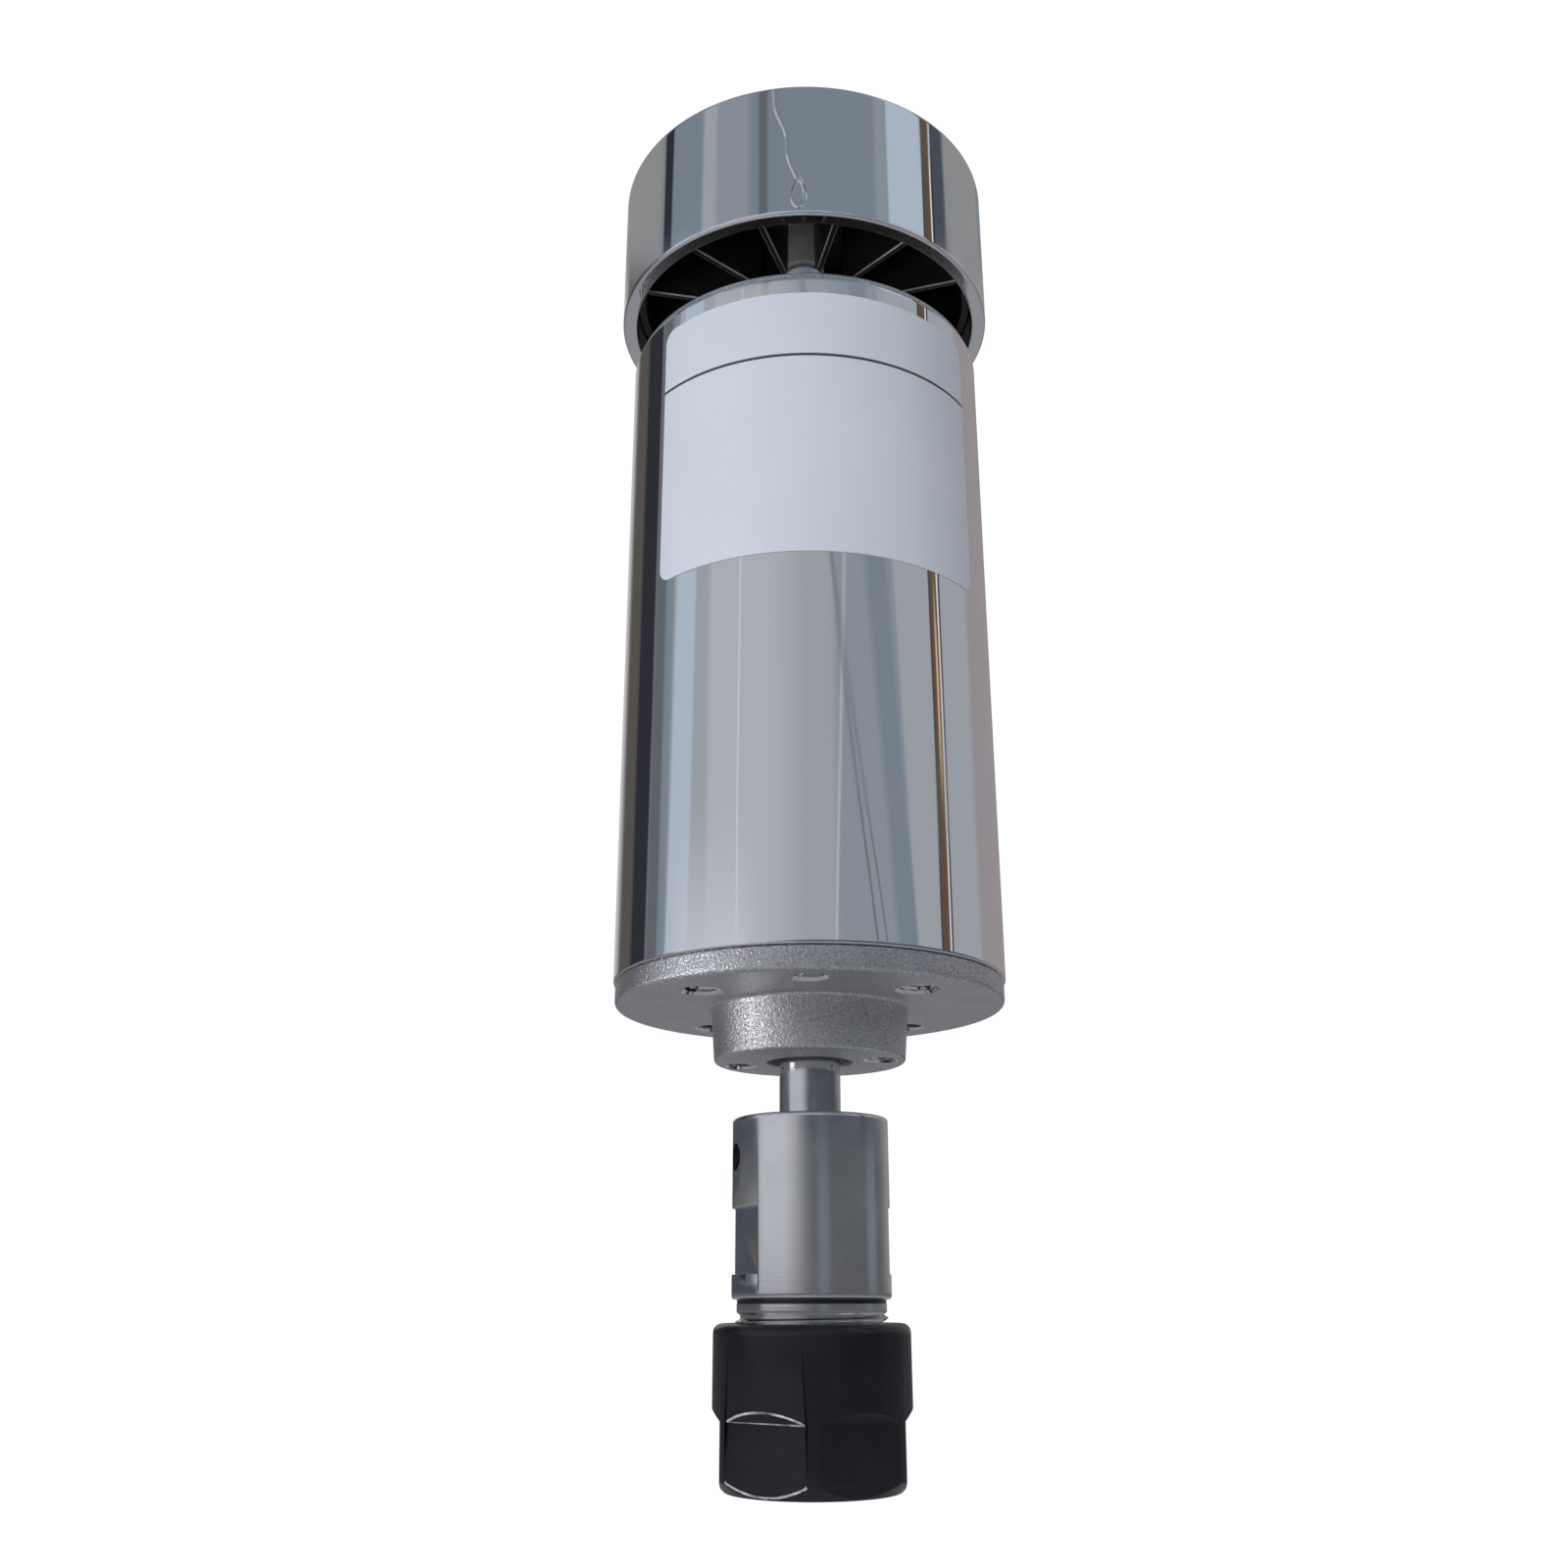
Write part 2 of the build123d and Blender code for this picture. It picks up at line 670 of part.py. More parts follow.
with BuildPart() as terminals:
    for azimuth in (terminal_azimuth, -terminal_azimuth):
        angle = polar_angle(azimuth)
        with BuildSketch(Plane.XY.offset(rear_spigot_bottom)):
            with PolarLocations(terminal_radius, 1, start_angle=angle):
                Circle(terminal_stem_radius)
        extrude(amount=motor_top + insulator_height - rear_spigot_bottom)
        with BuildSketch(Plane.XY.offset(motor_top + insulator_height)):
            with PolarLocations(terminal_radius, 1, start_angle=angle):
                Rectangle(terminal_thickness, terminal_width)
        extrude(amount=terminal_height)

# ------------------------------------------------------------------ cooling fan
with BuildPart() as fan_ring:
    with BuildSketch(Plane.XY.offset(fan_bottom)):
        Circle(fan_radius)
        Circle(fan_bore, mode=Mode.SUBTRACT)
    extrude(amount=fan_height)
    fillet(rim(fan_ring, fan_radius, fan_bottom) + rim(fan_ring, fan_radius, fan_top), fan_ring_round)

# the moulding inside the ring is kept as a disc, a skirt and blades that meet face to face
with BuildPart() as fan_disc:
    with BuildSketch(Plane.XY.offset(roof_bottom)):
        Circle(skirt_radius)
        Circle(bush_radius + press_gap, mode=Mode.SUBTRACT)
    extrude(amount=fan_roof)

fan_skirt = collar(blade_bottom, roof_bottom, skirt_bore, skirt_radius)

with BuildPart() as fan_blades:
    with BuildSketch(Plane.XY.offset(blade_bottom)):
        with PolarLocations(
            blade_inner_radius, blade_count, start_angle=polar_angle(blade_first_azimuth)
        ):
            Rectangle(skirt_radius, blade_thickness, align=(Align.MIN, Align.CENTER))
        Circle(skirt_bore, mode=Mode.INTERSECT)
    extrude(amount=roof_bottom - blade_bottom)

fan_bush = turned(
    (bush_bore, bush_bottom),
    (bush_radius, bush_bottom),
    (bush_radius, roof_bottom - bush_flange_thickness),
    (bush_radius + bush_flange_step, roof_bottom - bush_flange_thickness),
    (bush_radius + bush_flange_step, roof_bottom),
    (bush_radius, roof_bottom),
    (bush_radius, roof_top),
    (bush_bore, roof_top),
)

# ------------------------------------------------------------------ collet holder on the shaft
taper_slope = tan(radians(collet_taper))
gauge_height = collet_front + collet_gauge_offset


def taper_radius(height):
    """Radius of the collet's long taper at a height."""
    return collet_gauge_radius - (height - gauge_height) * taper_slope


socket_back = collet_back + collet_back_chamfer
with BuildPart() as collet_holder:
    with BuildSketch(Plane.XZ):
        with BuildLine():
            Polyline(
                (on_shaft_radius, holder_top),
                (holder_radius, holder_top),
                (holder_radius, holder_shoulder),
                (thread_radius - neck_relief_depth, holder_shoulder),
                (thread_radius - neck_relief_depth, holder_shoulder - neck_relief_length),
                (thread_radius, holder_shoulder - neck_relief_length),
                (thread_radius, holder_front),
                (taper_radius(holder_front) + running_gap, holder_front),
                (taper_radius(socket_back) + running_gap, socket_back),
                (on_shaft_radius, socket_back),
                close=True,
            )
        make_face()
    revolve(axis=Axis.Z)
    chamfer(
        rim(collet_holder, holder_radius, holder_top) + rim(collet_holder, holder_radius, holder_shoulder),
        holder_chamfer,
    )
    for azimuth in (flat_azimuth, flat_azimuth + 180):
        with BuildSketch(facing_plane(azimuth, flat_top - flat_height / 2).offset(flat_across / 2)):
            Rectangle(2 * holder_radius, flat_height)
        extrude(amount=holder_radius, mode=Mode.SUBTRACT)
        with BuildSketch(facing_plane(azimuth, screw_height)):
            Circle(screw_hole_radius)
        extrude(amount=holder_radius, mode=Mode.SUBTRACT)

with BuildPart() as holder_set_screws:
    for azimuth in (flat_azimuth, flat_azimuth + 180):
        inner_end = facing_plane(azimuth, screw_height).offset(on_shaft_radius)
        outer_end = facing_plane(azimuth, screw_height).offset(holder_radius - screw_recess)
        with BuildSketch(inner_end):
            Circle(screw_hole_radius - press_gap)
        extrude(amount=holder_radius - screw_recess - on_shaft_radius)
        with BuildSketch(outer_end):
            RegularPolygon(screw_socket_across / 2, 6, major_radius=False)
        extrude(amount=-screw_socket_depth, mode=Mode.SUBTRACT)

# ------------------------------------------------------------------ spring collet, slit from both ends
nose_radius = collet_rim_radius - collet_nose_length * tan(radians(collet_nose_angle))
groove_start = collet_front + collet_nose_length + collet_rim_width
groove_end = groove_start + collet_groove_width
body_start = groove_end + collet_groove_wall
with BuildPart() as collet:
    with BuildSketch(Plane.XZ):
        with BuildLine():
            Polyline(
                (tool_radius, collet_front),
                (nose_radius, collet_front),
                (collet_rim_radius, collet_front + collet_nose_length),
                (collet_rim_radius, groove_start),
                (collet_groove_radius, groove_start),
                (collet_groove_radius, groove_end),
                (taper_radius(body_start), body_start),
                (taper_radius(collet_back - collet_back_chamfer), collet_back - collet_back_chamfer),
                (taper_radius(collet_back) - collet_back_chamfer, collet_back),
                (tool_radius, collet_back),
                close=True,
            )
        make_face()
    revolve(axis=Axis.Z)
    slit_length = collet_length - collet_slit_margin
    slit_middle = (tool_radius + collet_rim_radius) / 2
    for start, turn, way in ((collet_front, 0, 1), (collet_back, 180 / collet_slit_count, -1)):
        with BuildSketch(Plane.XY.offset(start)):
            with PolarLocations(slit_middle, collet_slit_count, start_angle=turn):
                Rectangle(collet_rim_radius, collet_slit)
        extrude(amount=way * slit_length, mode=Mode.SUBTRACT)

# ------------------------------------------------------------------ collet nut with its eccentric lip
nut_bore = thread_radius + running_gap
nut_relief_bore = nut_bore - nut_relief
nut_thread_end = holder_front - nut_thread_run_out
lip_top = (groove_start + groove_end + nut_lip_thickness) / 2
lip_bottom = lip_top - nut_lip_thickness
cone_slope = tan(radians(collet_nose_angle))
cone_top = collet_front + collet_nose_length
seat_radius = collet_rim_radius + 2 * running_gap
with BuildPart() as collet_nut:
    with BuildSketch(Plane.XZ):
        with BuildLine():
            Polyline(
                (nut_bore, nut_top),
                (nut_radius, nut_top),
                (nut_radius, nut_front),
                (seat_radius - (cone_top - nut_front) * cone_slope, nut_front),
                (seat_radius, cone_top),
                (seat_radius, lip_bottom),
                (collet_groove_radius - nut_lip_offset, lip_bottom),
                (collet_groove_radius - nut_lip_offset, lip_top),
                (nut_relief_bore, lip_top),
                (nut_relief_bore, nut_thread_end),
                (nut_bore, nut_thread_end),
                close=True,
            )
        make_face()
    revolve(axis=Axis.Z)
    fillet(rim(collet_nut, nut_radius, nut_top), nut_top_round)
    chamfer(rim(collet_nut, nut_radius, nut_front), nut_bottom_chamfer)
    chamfer(rim(collet_nut, nut_bore, nut_top), nut_bore_chamfer)
    # the lip's hole stands off the axis
    with BuildSketch(Plane.XY.offset(lip_bottom)):
        with Locations((nut_lip_offset, 0)):
            Circle(collet_rim_radius - nut_lip_overlap)
    extrude(amount=nut_lip_thickness, mode=Mode.SUBTRACT)
    # six flats that run out at 45 degrees below the collar
    flat_radius = nut_flat_across / 2
    run_out = 2 * (nut_radius - flat_radius)
    for number in range(6):
        with BuildSketch(radial_plane(nut_flat_first_azimuth + 60 * number, nut_front)):
            with BuildLine():
                Polyline(
                    (flat_radius, 0),
                    (flat_radius, nut_flat_height),
                    (flat_radius + run_out, nut_flat_height + run_out),
                    (flat_radius + run_out, 0),
                    close=True,
                )
            make_face()
        extrude(amount=nut_radius, both=True, mode=Mode.SUBTRACT)

# ------------------------------------------------------------------ rating label, left blank
with BuildPart() as rating_label:
    with BuildSketch(Plane.XY.offset(tube_bottom + label_bottom)):
        with BuildLine():
            first = polar_angle(label_first_azimuth)
            span = label_last_azimuth - label_first_azimuth
            inner = CenterArc((0, 0), body_radius - label_corner, first, span)
            outer = CenterArc((0, 0), body_radius + label_thickness, first, span)
            Line(inner @ 0, outer @ 0)
            Line(inner @ 1, outer @ 1)
        make_face()
    extrude(amount=label_height)
    fillet(rating_label.edges().filter_by(GeomType.LINE).filter_by(Axis.Z, reverse=True), label_corner)
    # the tube takes the room inside it
    with BuildSketch(Plane.XY.offset(tube_bottom + label_bottom)):
        Circle(body_radius)
    extrude(amount=label_height, mode=Mode.SUBTRACT)

# ------------------------------------------------------------------ one file for each sub-part
pieces = {
    "motor_tube": motor_tube,
    "front_end_cap": front_end_cap,
    "rear_end_cap": rear_end_cap,
    "through_bolts": through_bolts,
    "magnets": magnets,
    "preload_washer": preload_washer,
    "motor_shaft": motor_shaft,
    "armature_core": armature_core,
    "armature_end_plates": armature_end_plates,
    "armature_windings": armature_windings,
    "shaft_spacer": shaft_spacer,
    "commutator_sleeve": commutator_sleeve,
    "commutator_segments": commutator_segments,
    "brush_left": brush_left,
    "brush_right": brush_right,
    "brush_spring_left": brush_spring_left,
    "brush_spring_right": brush_spring_right,
    "brush_tubes": brush_tubes,
    "brush_plate": brush_plate,
    "terminal_insulators": terminal_insulators,
    "terminals": terminals,
    "fan_ring": fan_ring,
    "fan_disc": fan_disc,
    "fan_skirt": fan_skirt,
    "fan_blades": fan_blades,
    "fan_bush": fan_bush,
    "collet_holder": collet_holder,
    "holder_set_screws": holder_set_screws,
    "collet": collet,
    "collet_nut": collet_nut,
    "rating_label": rating_label,
}
for place, bearing in (("front", front_set), ("rear", rear_set)):
    for name, piece in bearing.items():
        pieces[f"{place}_bearing_{name}"] = piece

for node, piece in pieces.items():
    piece.part.label = node
    export_step(piece.part, f"parts/{node}.step")
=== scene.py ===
import bmesh
import bpy
from math import cos, pi, radians, sin, tan
from mathutils import Matrix, Vector


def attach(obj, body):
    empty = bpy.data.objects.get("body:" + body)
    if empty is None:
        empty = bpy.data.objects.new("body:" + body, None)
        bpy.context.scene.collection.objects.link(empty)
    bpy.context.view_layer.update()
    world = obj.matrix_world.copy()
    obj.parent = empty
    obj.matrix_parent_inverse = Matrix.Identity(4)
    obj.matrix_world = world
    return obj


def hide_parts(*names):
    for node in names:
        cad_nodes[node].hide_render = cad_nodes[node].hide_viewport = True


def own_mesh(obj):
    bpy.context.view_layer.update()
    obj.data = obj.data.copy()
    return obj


# Looks of a DC motor spindle: bright plated body tube and fan ring, sandblasted front cap, turned
# collet holder and black oxide nut. Sizes are in millimetres until a mesh is made. An azimuth is
# measured round the axis in degrees, from -Y towards +X.

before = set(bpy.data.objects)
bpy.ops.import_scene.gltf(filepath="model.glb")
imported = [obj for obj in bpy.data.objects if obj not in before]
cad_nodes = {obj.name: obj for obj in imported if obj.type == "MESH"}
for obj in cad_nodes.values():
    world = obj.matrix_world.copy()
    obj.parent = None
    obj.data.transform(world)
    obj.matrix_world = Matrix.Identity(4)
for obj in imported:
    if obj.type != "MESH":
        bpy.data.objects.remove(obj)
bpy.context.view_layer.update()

# -------- sizes
press_gap = 0.02
body_radius = 26.0
tube_bore = 24.0
tube_bottom = 3.1
tube_top = 97.1
motor_top = 98.1

flange_radius = 25.75
spigot_radius = 23.98
spigot_bore = 15.98
spigot_top = 7.1
nose_root_radius = 13.0
nose_tip_radius = 12.55
nose_tip = -7.0
nose_hole_radius = 5.6
front_bearing_bottom = -4.0
front_bearing_top = 3.0
front_seat_radius = 11.02
mount_circle_radius = 19.0
mount_thread_radius = 2.5
mount_thread_depth = 0.4
mount_thread_pitch = 0.8
mount_hole_depth = 6.2
mount_hole_mouth = 2.85     # radius of its countersink
mount_count = 4
mount_first_azimuth = 45
nose_circle_radius = 9.5
nose_thread_radius = 2.0
nose_thread_depth = 0.35
nose_thread_pitch = 0.7
nose_screw_hole_depth = 2.4
nose_hole_mouth = 2.3
nose_first_azimuth = -105.0
bolt_circle_radius = 21.3
bolt_radius = 2.0
bolt_hole_mouth = 2.42
bolt_tip = 1.0
bolt_recess_depth = 1.2     # of the cross in its head
bolt_recess_reach = 1.7
bolt_recess_half_width = 0.3
bolt_head_radius = 3.4
bolt_head_height = 2.2

rear_flange_radius = 25.55
rear_boss_radius = 10.22
rear_boss_top = 99.3
rear_seat_radius = 8.02
rear_hole_radius = 3.98
rear_bearing_bottom = 92.1
rear_seat_top = 97.4
rear_floor = 94.1
rear_spigot_bottom = 88.8
rear_spigot_bore = 18.48
terminal_radius = 14.5
terminal_azimuth = 150.0
insulator_radius = 2.5

front_shaft_radius = 3.98
rear_shaft_radius = 2.48
shaft_bottom = -27.55
shaft_top = 127.8

fan_radius = 28.15
fan_bore = 26.0
fan_bottom = 105.8
fan_top = 128.4
roof_top = 128.2
roof_bottom = 126.4
skirt_bore = 24.68
blade_bottom = 110.4
blade_thickness = 1.2
blade_inner_radius = 9.0
blade_count = 12
blade_first_azimuth = 13.0
bush_radius = 3.3
bush_bottom = 118.0
bush_flange_radius = 3.6
bush_flange_bottom = 125.6

holder_radius = 10.0
holder_top = -14.25
holder_shoulder = -36.25
holder_front = -50.9
neck_root_radius = 9.35
thread_root_radius = 8.9
thread_crest_radius = 9.5
thread_pitch = 1.0
thread_start = -37.75
socket_back = -29.4
socket_back_radius = 4.25
socket_mouth_radius = 8.03
flat_across = 17.0
flat_height = 8.0
flat_top = -25.3
flat_azimuth = -72.0
screw_height = -19.2
screw_hole_radius = 1.7

nut_radius = 12.25
nut_top = -39.0
nut_front = -57.9
nut_bore = 9.56
nut_relief_bore = 9.21
nut_thread_end = -51.6
nut_lip_top = -52.998
nut_lip_bottom = -54.098
nut_lip_bore = 7.6
nut_seat_radius = 8.62
nut_seat_top = -54.63
nut_mouth_radius = 6.73
nut_flat_across = 22.0
nut_flat_height = 8.04
nut_flat_first_azimuth = 30.0

label_bottom = 54.5
label_height = 39.8
label_first_azimuth = -49.0
label_last_azimuth = 59.5
label_corner = 2.0
label_thickness = 0.08
label_rule_height = 84.3
crease_bottom = 108.6

floor_height = -0.2


# -------- shader helpers
def add_node(tree, kind, **settings):
    """New node with its settings."""
    made = tree.nodes.new(kind)
    for name, value in settings.items():
        setattr(made, name, value)
    return made


def set_inputs(node, **values):
    """Give a node's inputs their values; a space in a socket's name is written as _."""
    for name, value in values.items():
        node.inputs[name.replace("_", " ")].default_value = value
    return node


def math_node(tree, operation, first, second=None, third=None):
    """Math node whose inputs are sockets or numbers."""
    made = add_node(tree, "ShaderNodeMath", operation=operation)
    for socket, value in zip(made.inputs, (first, second, third)):
        if isinstance(value, bpy.types.NodeSocket):
            tree.links.new(value, socket)
        elif value is not None:
            socket.default_value = value
    return made.outputs[0]


def plug(tree, node, **sources):
    """Link sockets to a node's inputs; a space in an input's name is written as _."""
    for name, source in sources.items():
        tree.links.new(source, node.inputs[name.replace("_", " ")])


def object_place(tree):
    """Object coordinates as one vector."""
    return add_node(tree, "ShaderNodeTexCoord").outputs["Object"]


def object_axes(tree):
    """Object coordinates as outputs X, Y and Z."""
    axes = add_node(tree, "ShaderNodeSeparateXYZ")
    plug(tree, axes, Vector=object_place(tree))
    return axes.outputs


def stretched_noise(tree, scale, detail=3.0, distortion=0.0):
    """Noise on Object coordinates, with its own scale along x, y and z in waves a metre."""
    stretch = set_inputs(add_node(tree, "ShaderNodeMapping"), Scale=scale)
    noise = add_node(tree, "ShaderNodeTexNoise")
    set_inputs(noise, Scale=1.0, Detail=detail, Distortion=distortion)
    plug(tree, stretch, Vector=object_place(tree))
    plug(tree, noise, Vector=stretch.outputs["Vector"])
    return noise.outputs["Fac"]


def graded(tree, source, low, high, start=0.3, end=0.7):
    """Number that follows a source from low to high."""
    scale = add_node(tree, "ShaderNodeMapRange")
    set_inputs(scale, From_Min=start, From_Max=end, To_Min=low, To_Max=high)
    plug(tree, scale, Value=source)
    return scale.outputs["Result"]


def blended(tree, factor, first, second):
    """Colour that goes from the first to the second with the factor; either may be a socket."""
    blend = add_node(tree, "ShaderNodeMix", data_type="RGBA")
    for index, value in ((0, factor), (6, first), (7, second)):
        socket = blend.inputs[index]
        if isinstance(value, bpy.types.NodeSocket):
            tree.links.new(value, socket)
        elif isinstance(value, tuple):
            socket.default_value = (*value, 1.0)
        else:
            socket.default_value = value
    return blend.outputs[2]


def add_relief(tree, height, depth, below=None):
    """Bump of a depth in metres, over the bump below it."""
    bump = add_node(tree, "ShaderNodeBump")
    set_inputs(bump, Strength=1.0, Distance=depth)
    plug(tree, bump, Height=height)
    if below is not None:
        plug(tree, bump, Normal=below)
    return bump.outputs["Normal"]


def surface(name, metallic, **values):
    """Material with one Principled shader; returns the material, its tree and the shader."""
    material = bpy.data.materials.new(name)
    material.use_nodes = True
    shader = material.node_tree.nodes["Principled BSDF"]
    set_inputs(shader, Metallic=metallic, **values)
    return material, material.node_tree, shader


def finish(name, dark, light, metallic, roughness, patch, grain=None, lines=None, **values):
    """Finish with patches between two colours, a roughness range, a grain and turning lines.

    patch is the patches' waves a metre; grain is (waves a metre, depth); lines is (lines a metre
    along the axis, depth).
    """
    material, tree, shader = surface(name, metallic, **values)
    patches = stretched_noise(tree, (patch, patch, patch), detail=4.0)
    plug(
        tree, shader, Base_Color=blended(tree, graded(tree, patches, 0, 1), dark, light),
        Roughness=graded(tree, patches, *roughness),
    )
    normal = None
    if grain:
        waves, depth = grain
        normal = add_relief(tree, stretched_noise(tree, (waves, waves, waves)), depth)
    if lines:
        waves, depth = lines
        turning = stretched_noise(tree, (12.0, 12.0, waves), detail=2.0)
        normal = add_relief(tree, turning, depth, normal)
    if normal is not None:
        plug(tree, shader, Normal=normal)
    return material


# -------- finishes
plating_tone = (0.86, 0.87, 0.89)


def plating(name):
    """Bright plating over drawn tube: faintly wavy along its length, with a few hazy smudges."""
    material, tree, shader = surface(name, 1.0, Base_Color=(*plating_tone, 1.0))
    haze = stretched_noise(tree, (55.0, 55.0, 18.0), detail=5.0, distortion=0.6)
    waves = add_relief(tree, stretched_noise(tree, (60.0, 60.0, 7.0), detail=1.5), 0.00025)
    pits = stretched_noise(tree, (260.0, 260.0, 40.0), detail=1.0)
    dents = add_relief(tree, pits, 0.00001, waves)
    plug(tree, shader, Roughness=graded(tree, haze, 0.035, 0.11, 0.45, 0.8), Normal=dents)
    return material, tree, shader, dents


def creased_plating(name):
    """Plating with a thin crease down its front that ends in a small drop-shaped blister."""
    material, tree, shader, waves = plating(name)
    axes = object_axes(tree)

    def worked(operation, *values):
        return math_node(tree, operation, *values)

    height = worked("SUBTRACT", axes["Z"], crease_bottom / 1000)
    slant = worked("MULTIPLY_ADD", height, -0.2, -0.0003)
    sway = worked("MULTIPLY", worked("SINE", worked("MULTIPLY", height, 700)), 0.00025)
    path = worked("ADD", slant, sway)
    aside = worked("ABSOLUTE", worked("SUBTRACT", axes["X"], path))
    line = graded(tree, aside, 1.0, 0.0, 0.00008, 0.0004)
    above = worked("GREATER_THAN", height, 0.0032)
    narrowing = worked("MULTIPLY_ADD", height, -0.16, 0.0011)
    across = worked("DIVIDE", worked("ADD", axes["X"], 0.0006), narrowing)
    along = worked("DIVIDE", worked("SUBTRACT", height, 0.001), 0.0026)
    squares = worked("ADD", worked("POWER", across, 2), worked("POWER", along, 2))
    rim = worked("ABSOLUTE", worked("SUBTRACT", squares, 0.8))
    drop = graded(tree, rim, 1.0, 0.0, 0.1, 0.45)
    raised = worked("MAXIMUM", worked("MULTIPLY", line, above), drop)
    raised = worked("MULTIPLY", raised, worked("LESS_THAN", axes["Y"], 0.0))
    dulled = blended(tree, worked("MULTIPLY", raised, 0.2), plating_tone, (0.45, 0.48, 0.50))
    plug(tree, shader, Base_Color=dulled, Normal=add_relief(tree, raised, 0.00012, waves))
    return material


def cast_aluminium_finish():
    """Sandblasted casting: a sparkling grain over faint patches."""
    material, tree, shader = surface("cast_aluminium", 1.0)
    patches = stretched_noise(tree, (160.0, 160.0, 160.0), detail=3.0)
    grain = stretched_noise(tree, (3400.0, 3400.0, 3400.0), detail=2.0)
    tone = blended(tree, graded(tree, patches, 0, 1), (0.76, 0.77, 0.79), (0.90, 0.91, 0.93))
    sparkle = blended(tree, graded(tree, grain, 0, 1, 0.3, 0.72), (0.46, 0.47, 0.49), tone)
    plug(
        tree, shader, Base_Color=sparkle, Roughness=graded(tree, grain, 0.5, 0.25, 0.35, 0.7),
        Normal=add_relief(tree, grain, 0.00012),
    )
    return material


def vane_plastic_finish():
    """Black moulding whose lower corners are painted paler: a painted highlight of the light from
    below.
    """
    material, tree, shader = surface("vane_plastic", 0.0)
    height = object_axes(tree)["Z"]
    corner = math_node(tree, "COMPARE", height, (blade_bottom + 0.16) / 1000, 0.00013)
    clouds = stretched_noise(tree, (400.0, 400.0, 400.0))
    # pale band along the blades' lower corners: painted highlight
    painted_sheen = math_node(tree, "MULTIPLY", corner, graded(tree, clouds, 0.55, 1.0))
    colour = blended(tree, painted_sheen, (0.014, 0.014, 0.015), (0.55, 0.56, 0.57))
    plug(tree, shader, Base_Color=colour, Roughness=graded(tree, clouds, 0.25, 0.4))
    return material


def label_film_finish():
    """Satin silver film with one printed rule and nothing else on it."""
    material, tree, shader = surface("label_film", 0.0, Specular_IOR_Level=0.5, Coat_Weight=0.15)
    rule = math_node(tree, "COMPARE", object_axes(tree)["Z"], label_rule_height / 1000, 0.00022)
    cloud = stretched_noise(tree, (45.0, 45.0, 45.0), detail=3.0)
    film = blended(tree, graded(tree, cloud, 0, 1), (0.48, 0.52, 0.585), (0.52, 0.555, 0.62))
    ink = blended(tree, math_node(tree, "MULTIPLY", rule, 0.95), film, (0.02, 0.02, 0.025))
    creases = add_relief(tree, stretched_noise(tree, (90.0, 90.0, 25.0), detail=2.0), 0.00003)
    plug(tree, shader, Base_Color=ink, Roughness=graded(tree, cloud, 0.34, 0.44), Normal=creases)
    return material


def waved_finish(name, waves, dark, light, roughness, depth, **values):
    """Metal with fine waves between two colours, such as strands of wire or stacked sheets."""
    material, tree, shader = surface(name, 0.9, **values)
    strands = add_node(tree, "ShaderNodeTexWave", **waves["kind"])
    set_inputs(strands, **waves["inputs"])
    plug(tree, strands, Vector=object_place(tree))
    share = strands.outputs["Fac"]
    plug(
        tree, shader, Base_Color=blended(tree, share, dark, light),
        Roughness=graded(tree, share, *roughness, 0, 1), Normal=add_relief(tree, share, depth),
    )
    return material


plated_steel = plating("plated_steel")[0]
creased_steel = creased_plating("plated_steel_creased")
cast_aluminium = cast_aluminium_finish()
vane_plastic = vane_plastic_finish()
label_film = label_film_finish()
copper = waved_finish(
    "copper",
    {
        "kind": {"wave_type": "RINGS", "rings_direction": "Z"},
        "inputs": {"Scale": 420.0, "Distortion": 3.0, "Detail": 2.0},
    },
    (0.28, 0.08, 0.03), (0.72, 0.30, 0.13), (0.5, 0.3), 0.0002, Coat_Weight=0.5,
)
lamination = waved_finish(
    "lamination",
    {"kind": {"wave_type": "BANDS", "bands_direction": "Z"}, "inputs": {"Scale": 628.0}},
    (0.10, 0.10, 0.11), (0.34, 0.34, 0.35), (0.6, 0.4), 0.00008,
)
machined_aluminium = finish(
    "machined_aluminium", (0.78, 0.79, 0.80), (0.90, 0.91, 0.92), 1.0, (0.06, 0.16), 700.0,
)
turned_steel = finish(
    "turned_steel", (0.72, 0.72, 0.72), (0.84, 0.84, 0.84), 1.0, (0.11, 0.19), 180.0,
    lines=(2600.0, 0.0000022),
)
ground_steel = finish(
    "ground_steel", (0.66, 0.66, 0.67), (0.76, 0.76, 0.77), 1.0, (0.08, 0.15), 160.0,
    lines=(3800.0, 0.000003),
)
bush_steel = finish(
    "bush_steel", (0.70, 0.70, 0.70), (0.85, 0.85, 0.84), 0.4, (0.18, 0.32), 200.0,
    lines=(2600.0, 0.00001),
)
# bright colour of the painted highlight strip on the nut's flat edges
worn_steel = finish(
    "worn_steel", (0.10, 0.11, 0.12), (0.95, 0.97, 1.0), 0.6, (0.25, 0.45), 700.0,
)
zinc_steel = finish(
    "zinc_steel", (0.48, 0.49, 0.52), (0.60, 0.60, 0.62), 1.0, (0.28, 0.4), 300.0,
    grain=(1500.0, 0.00002),
)
black_oxide = finish(
    "black_oxide", (0.004, 0.0045, 0.0065), (0.007, 0.0075, 0.0105), 0.0, (0.2, 0.32), 150.0,
    grain=(1500.0, 0.000003), lines=(1500.0, 0.000003), Specular_IOR_Level=0.5,
)
black_plastic = finish(
    "black_plastic", (0.014, 0.014, 0.015), (0.022, 0.022, 0.023), 0.0, (0.3, 0.45), 140.0,
    grain=(900.0, 0.00003),
)
nylon = finish(
    "nylon", (0.62, 0.59, 0.50), (0.72, 0.69, 0.60), 0.0, (0.4, 0.55), 200.0,
    grain=(900.0, 0.00002),
)
fibre = finish(
    "fibre", (0.20, 0.07, 0.03), (0.30, 0.12, 0.05), 0.0, (0.5, 0.7), 500.0,
    grain=(2200.0, 0.00004),
)
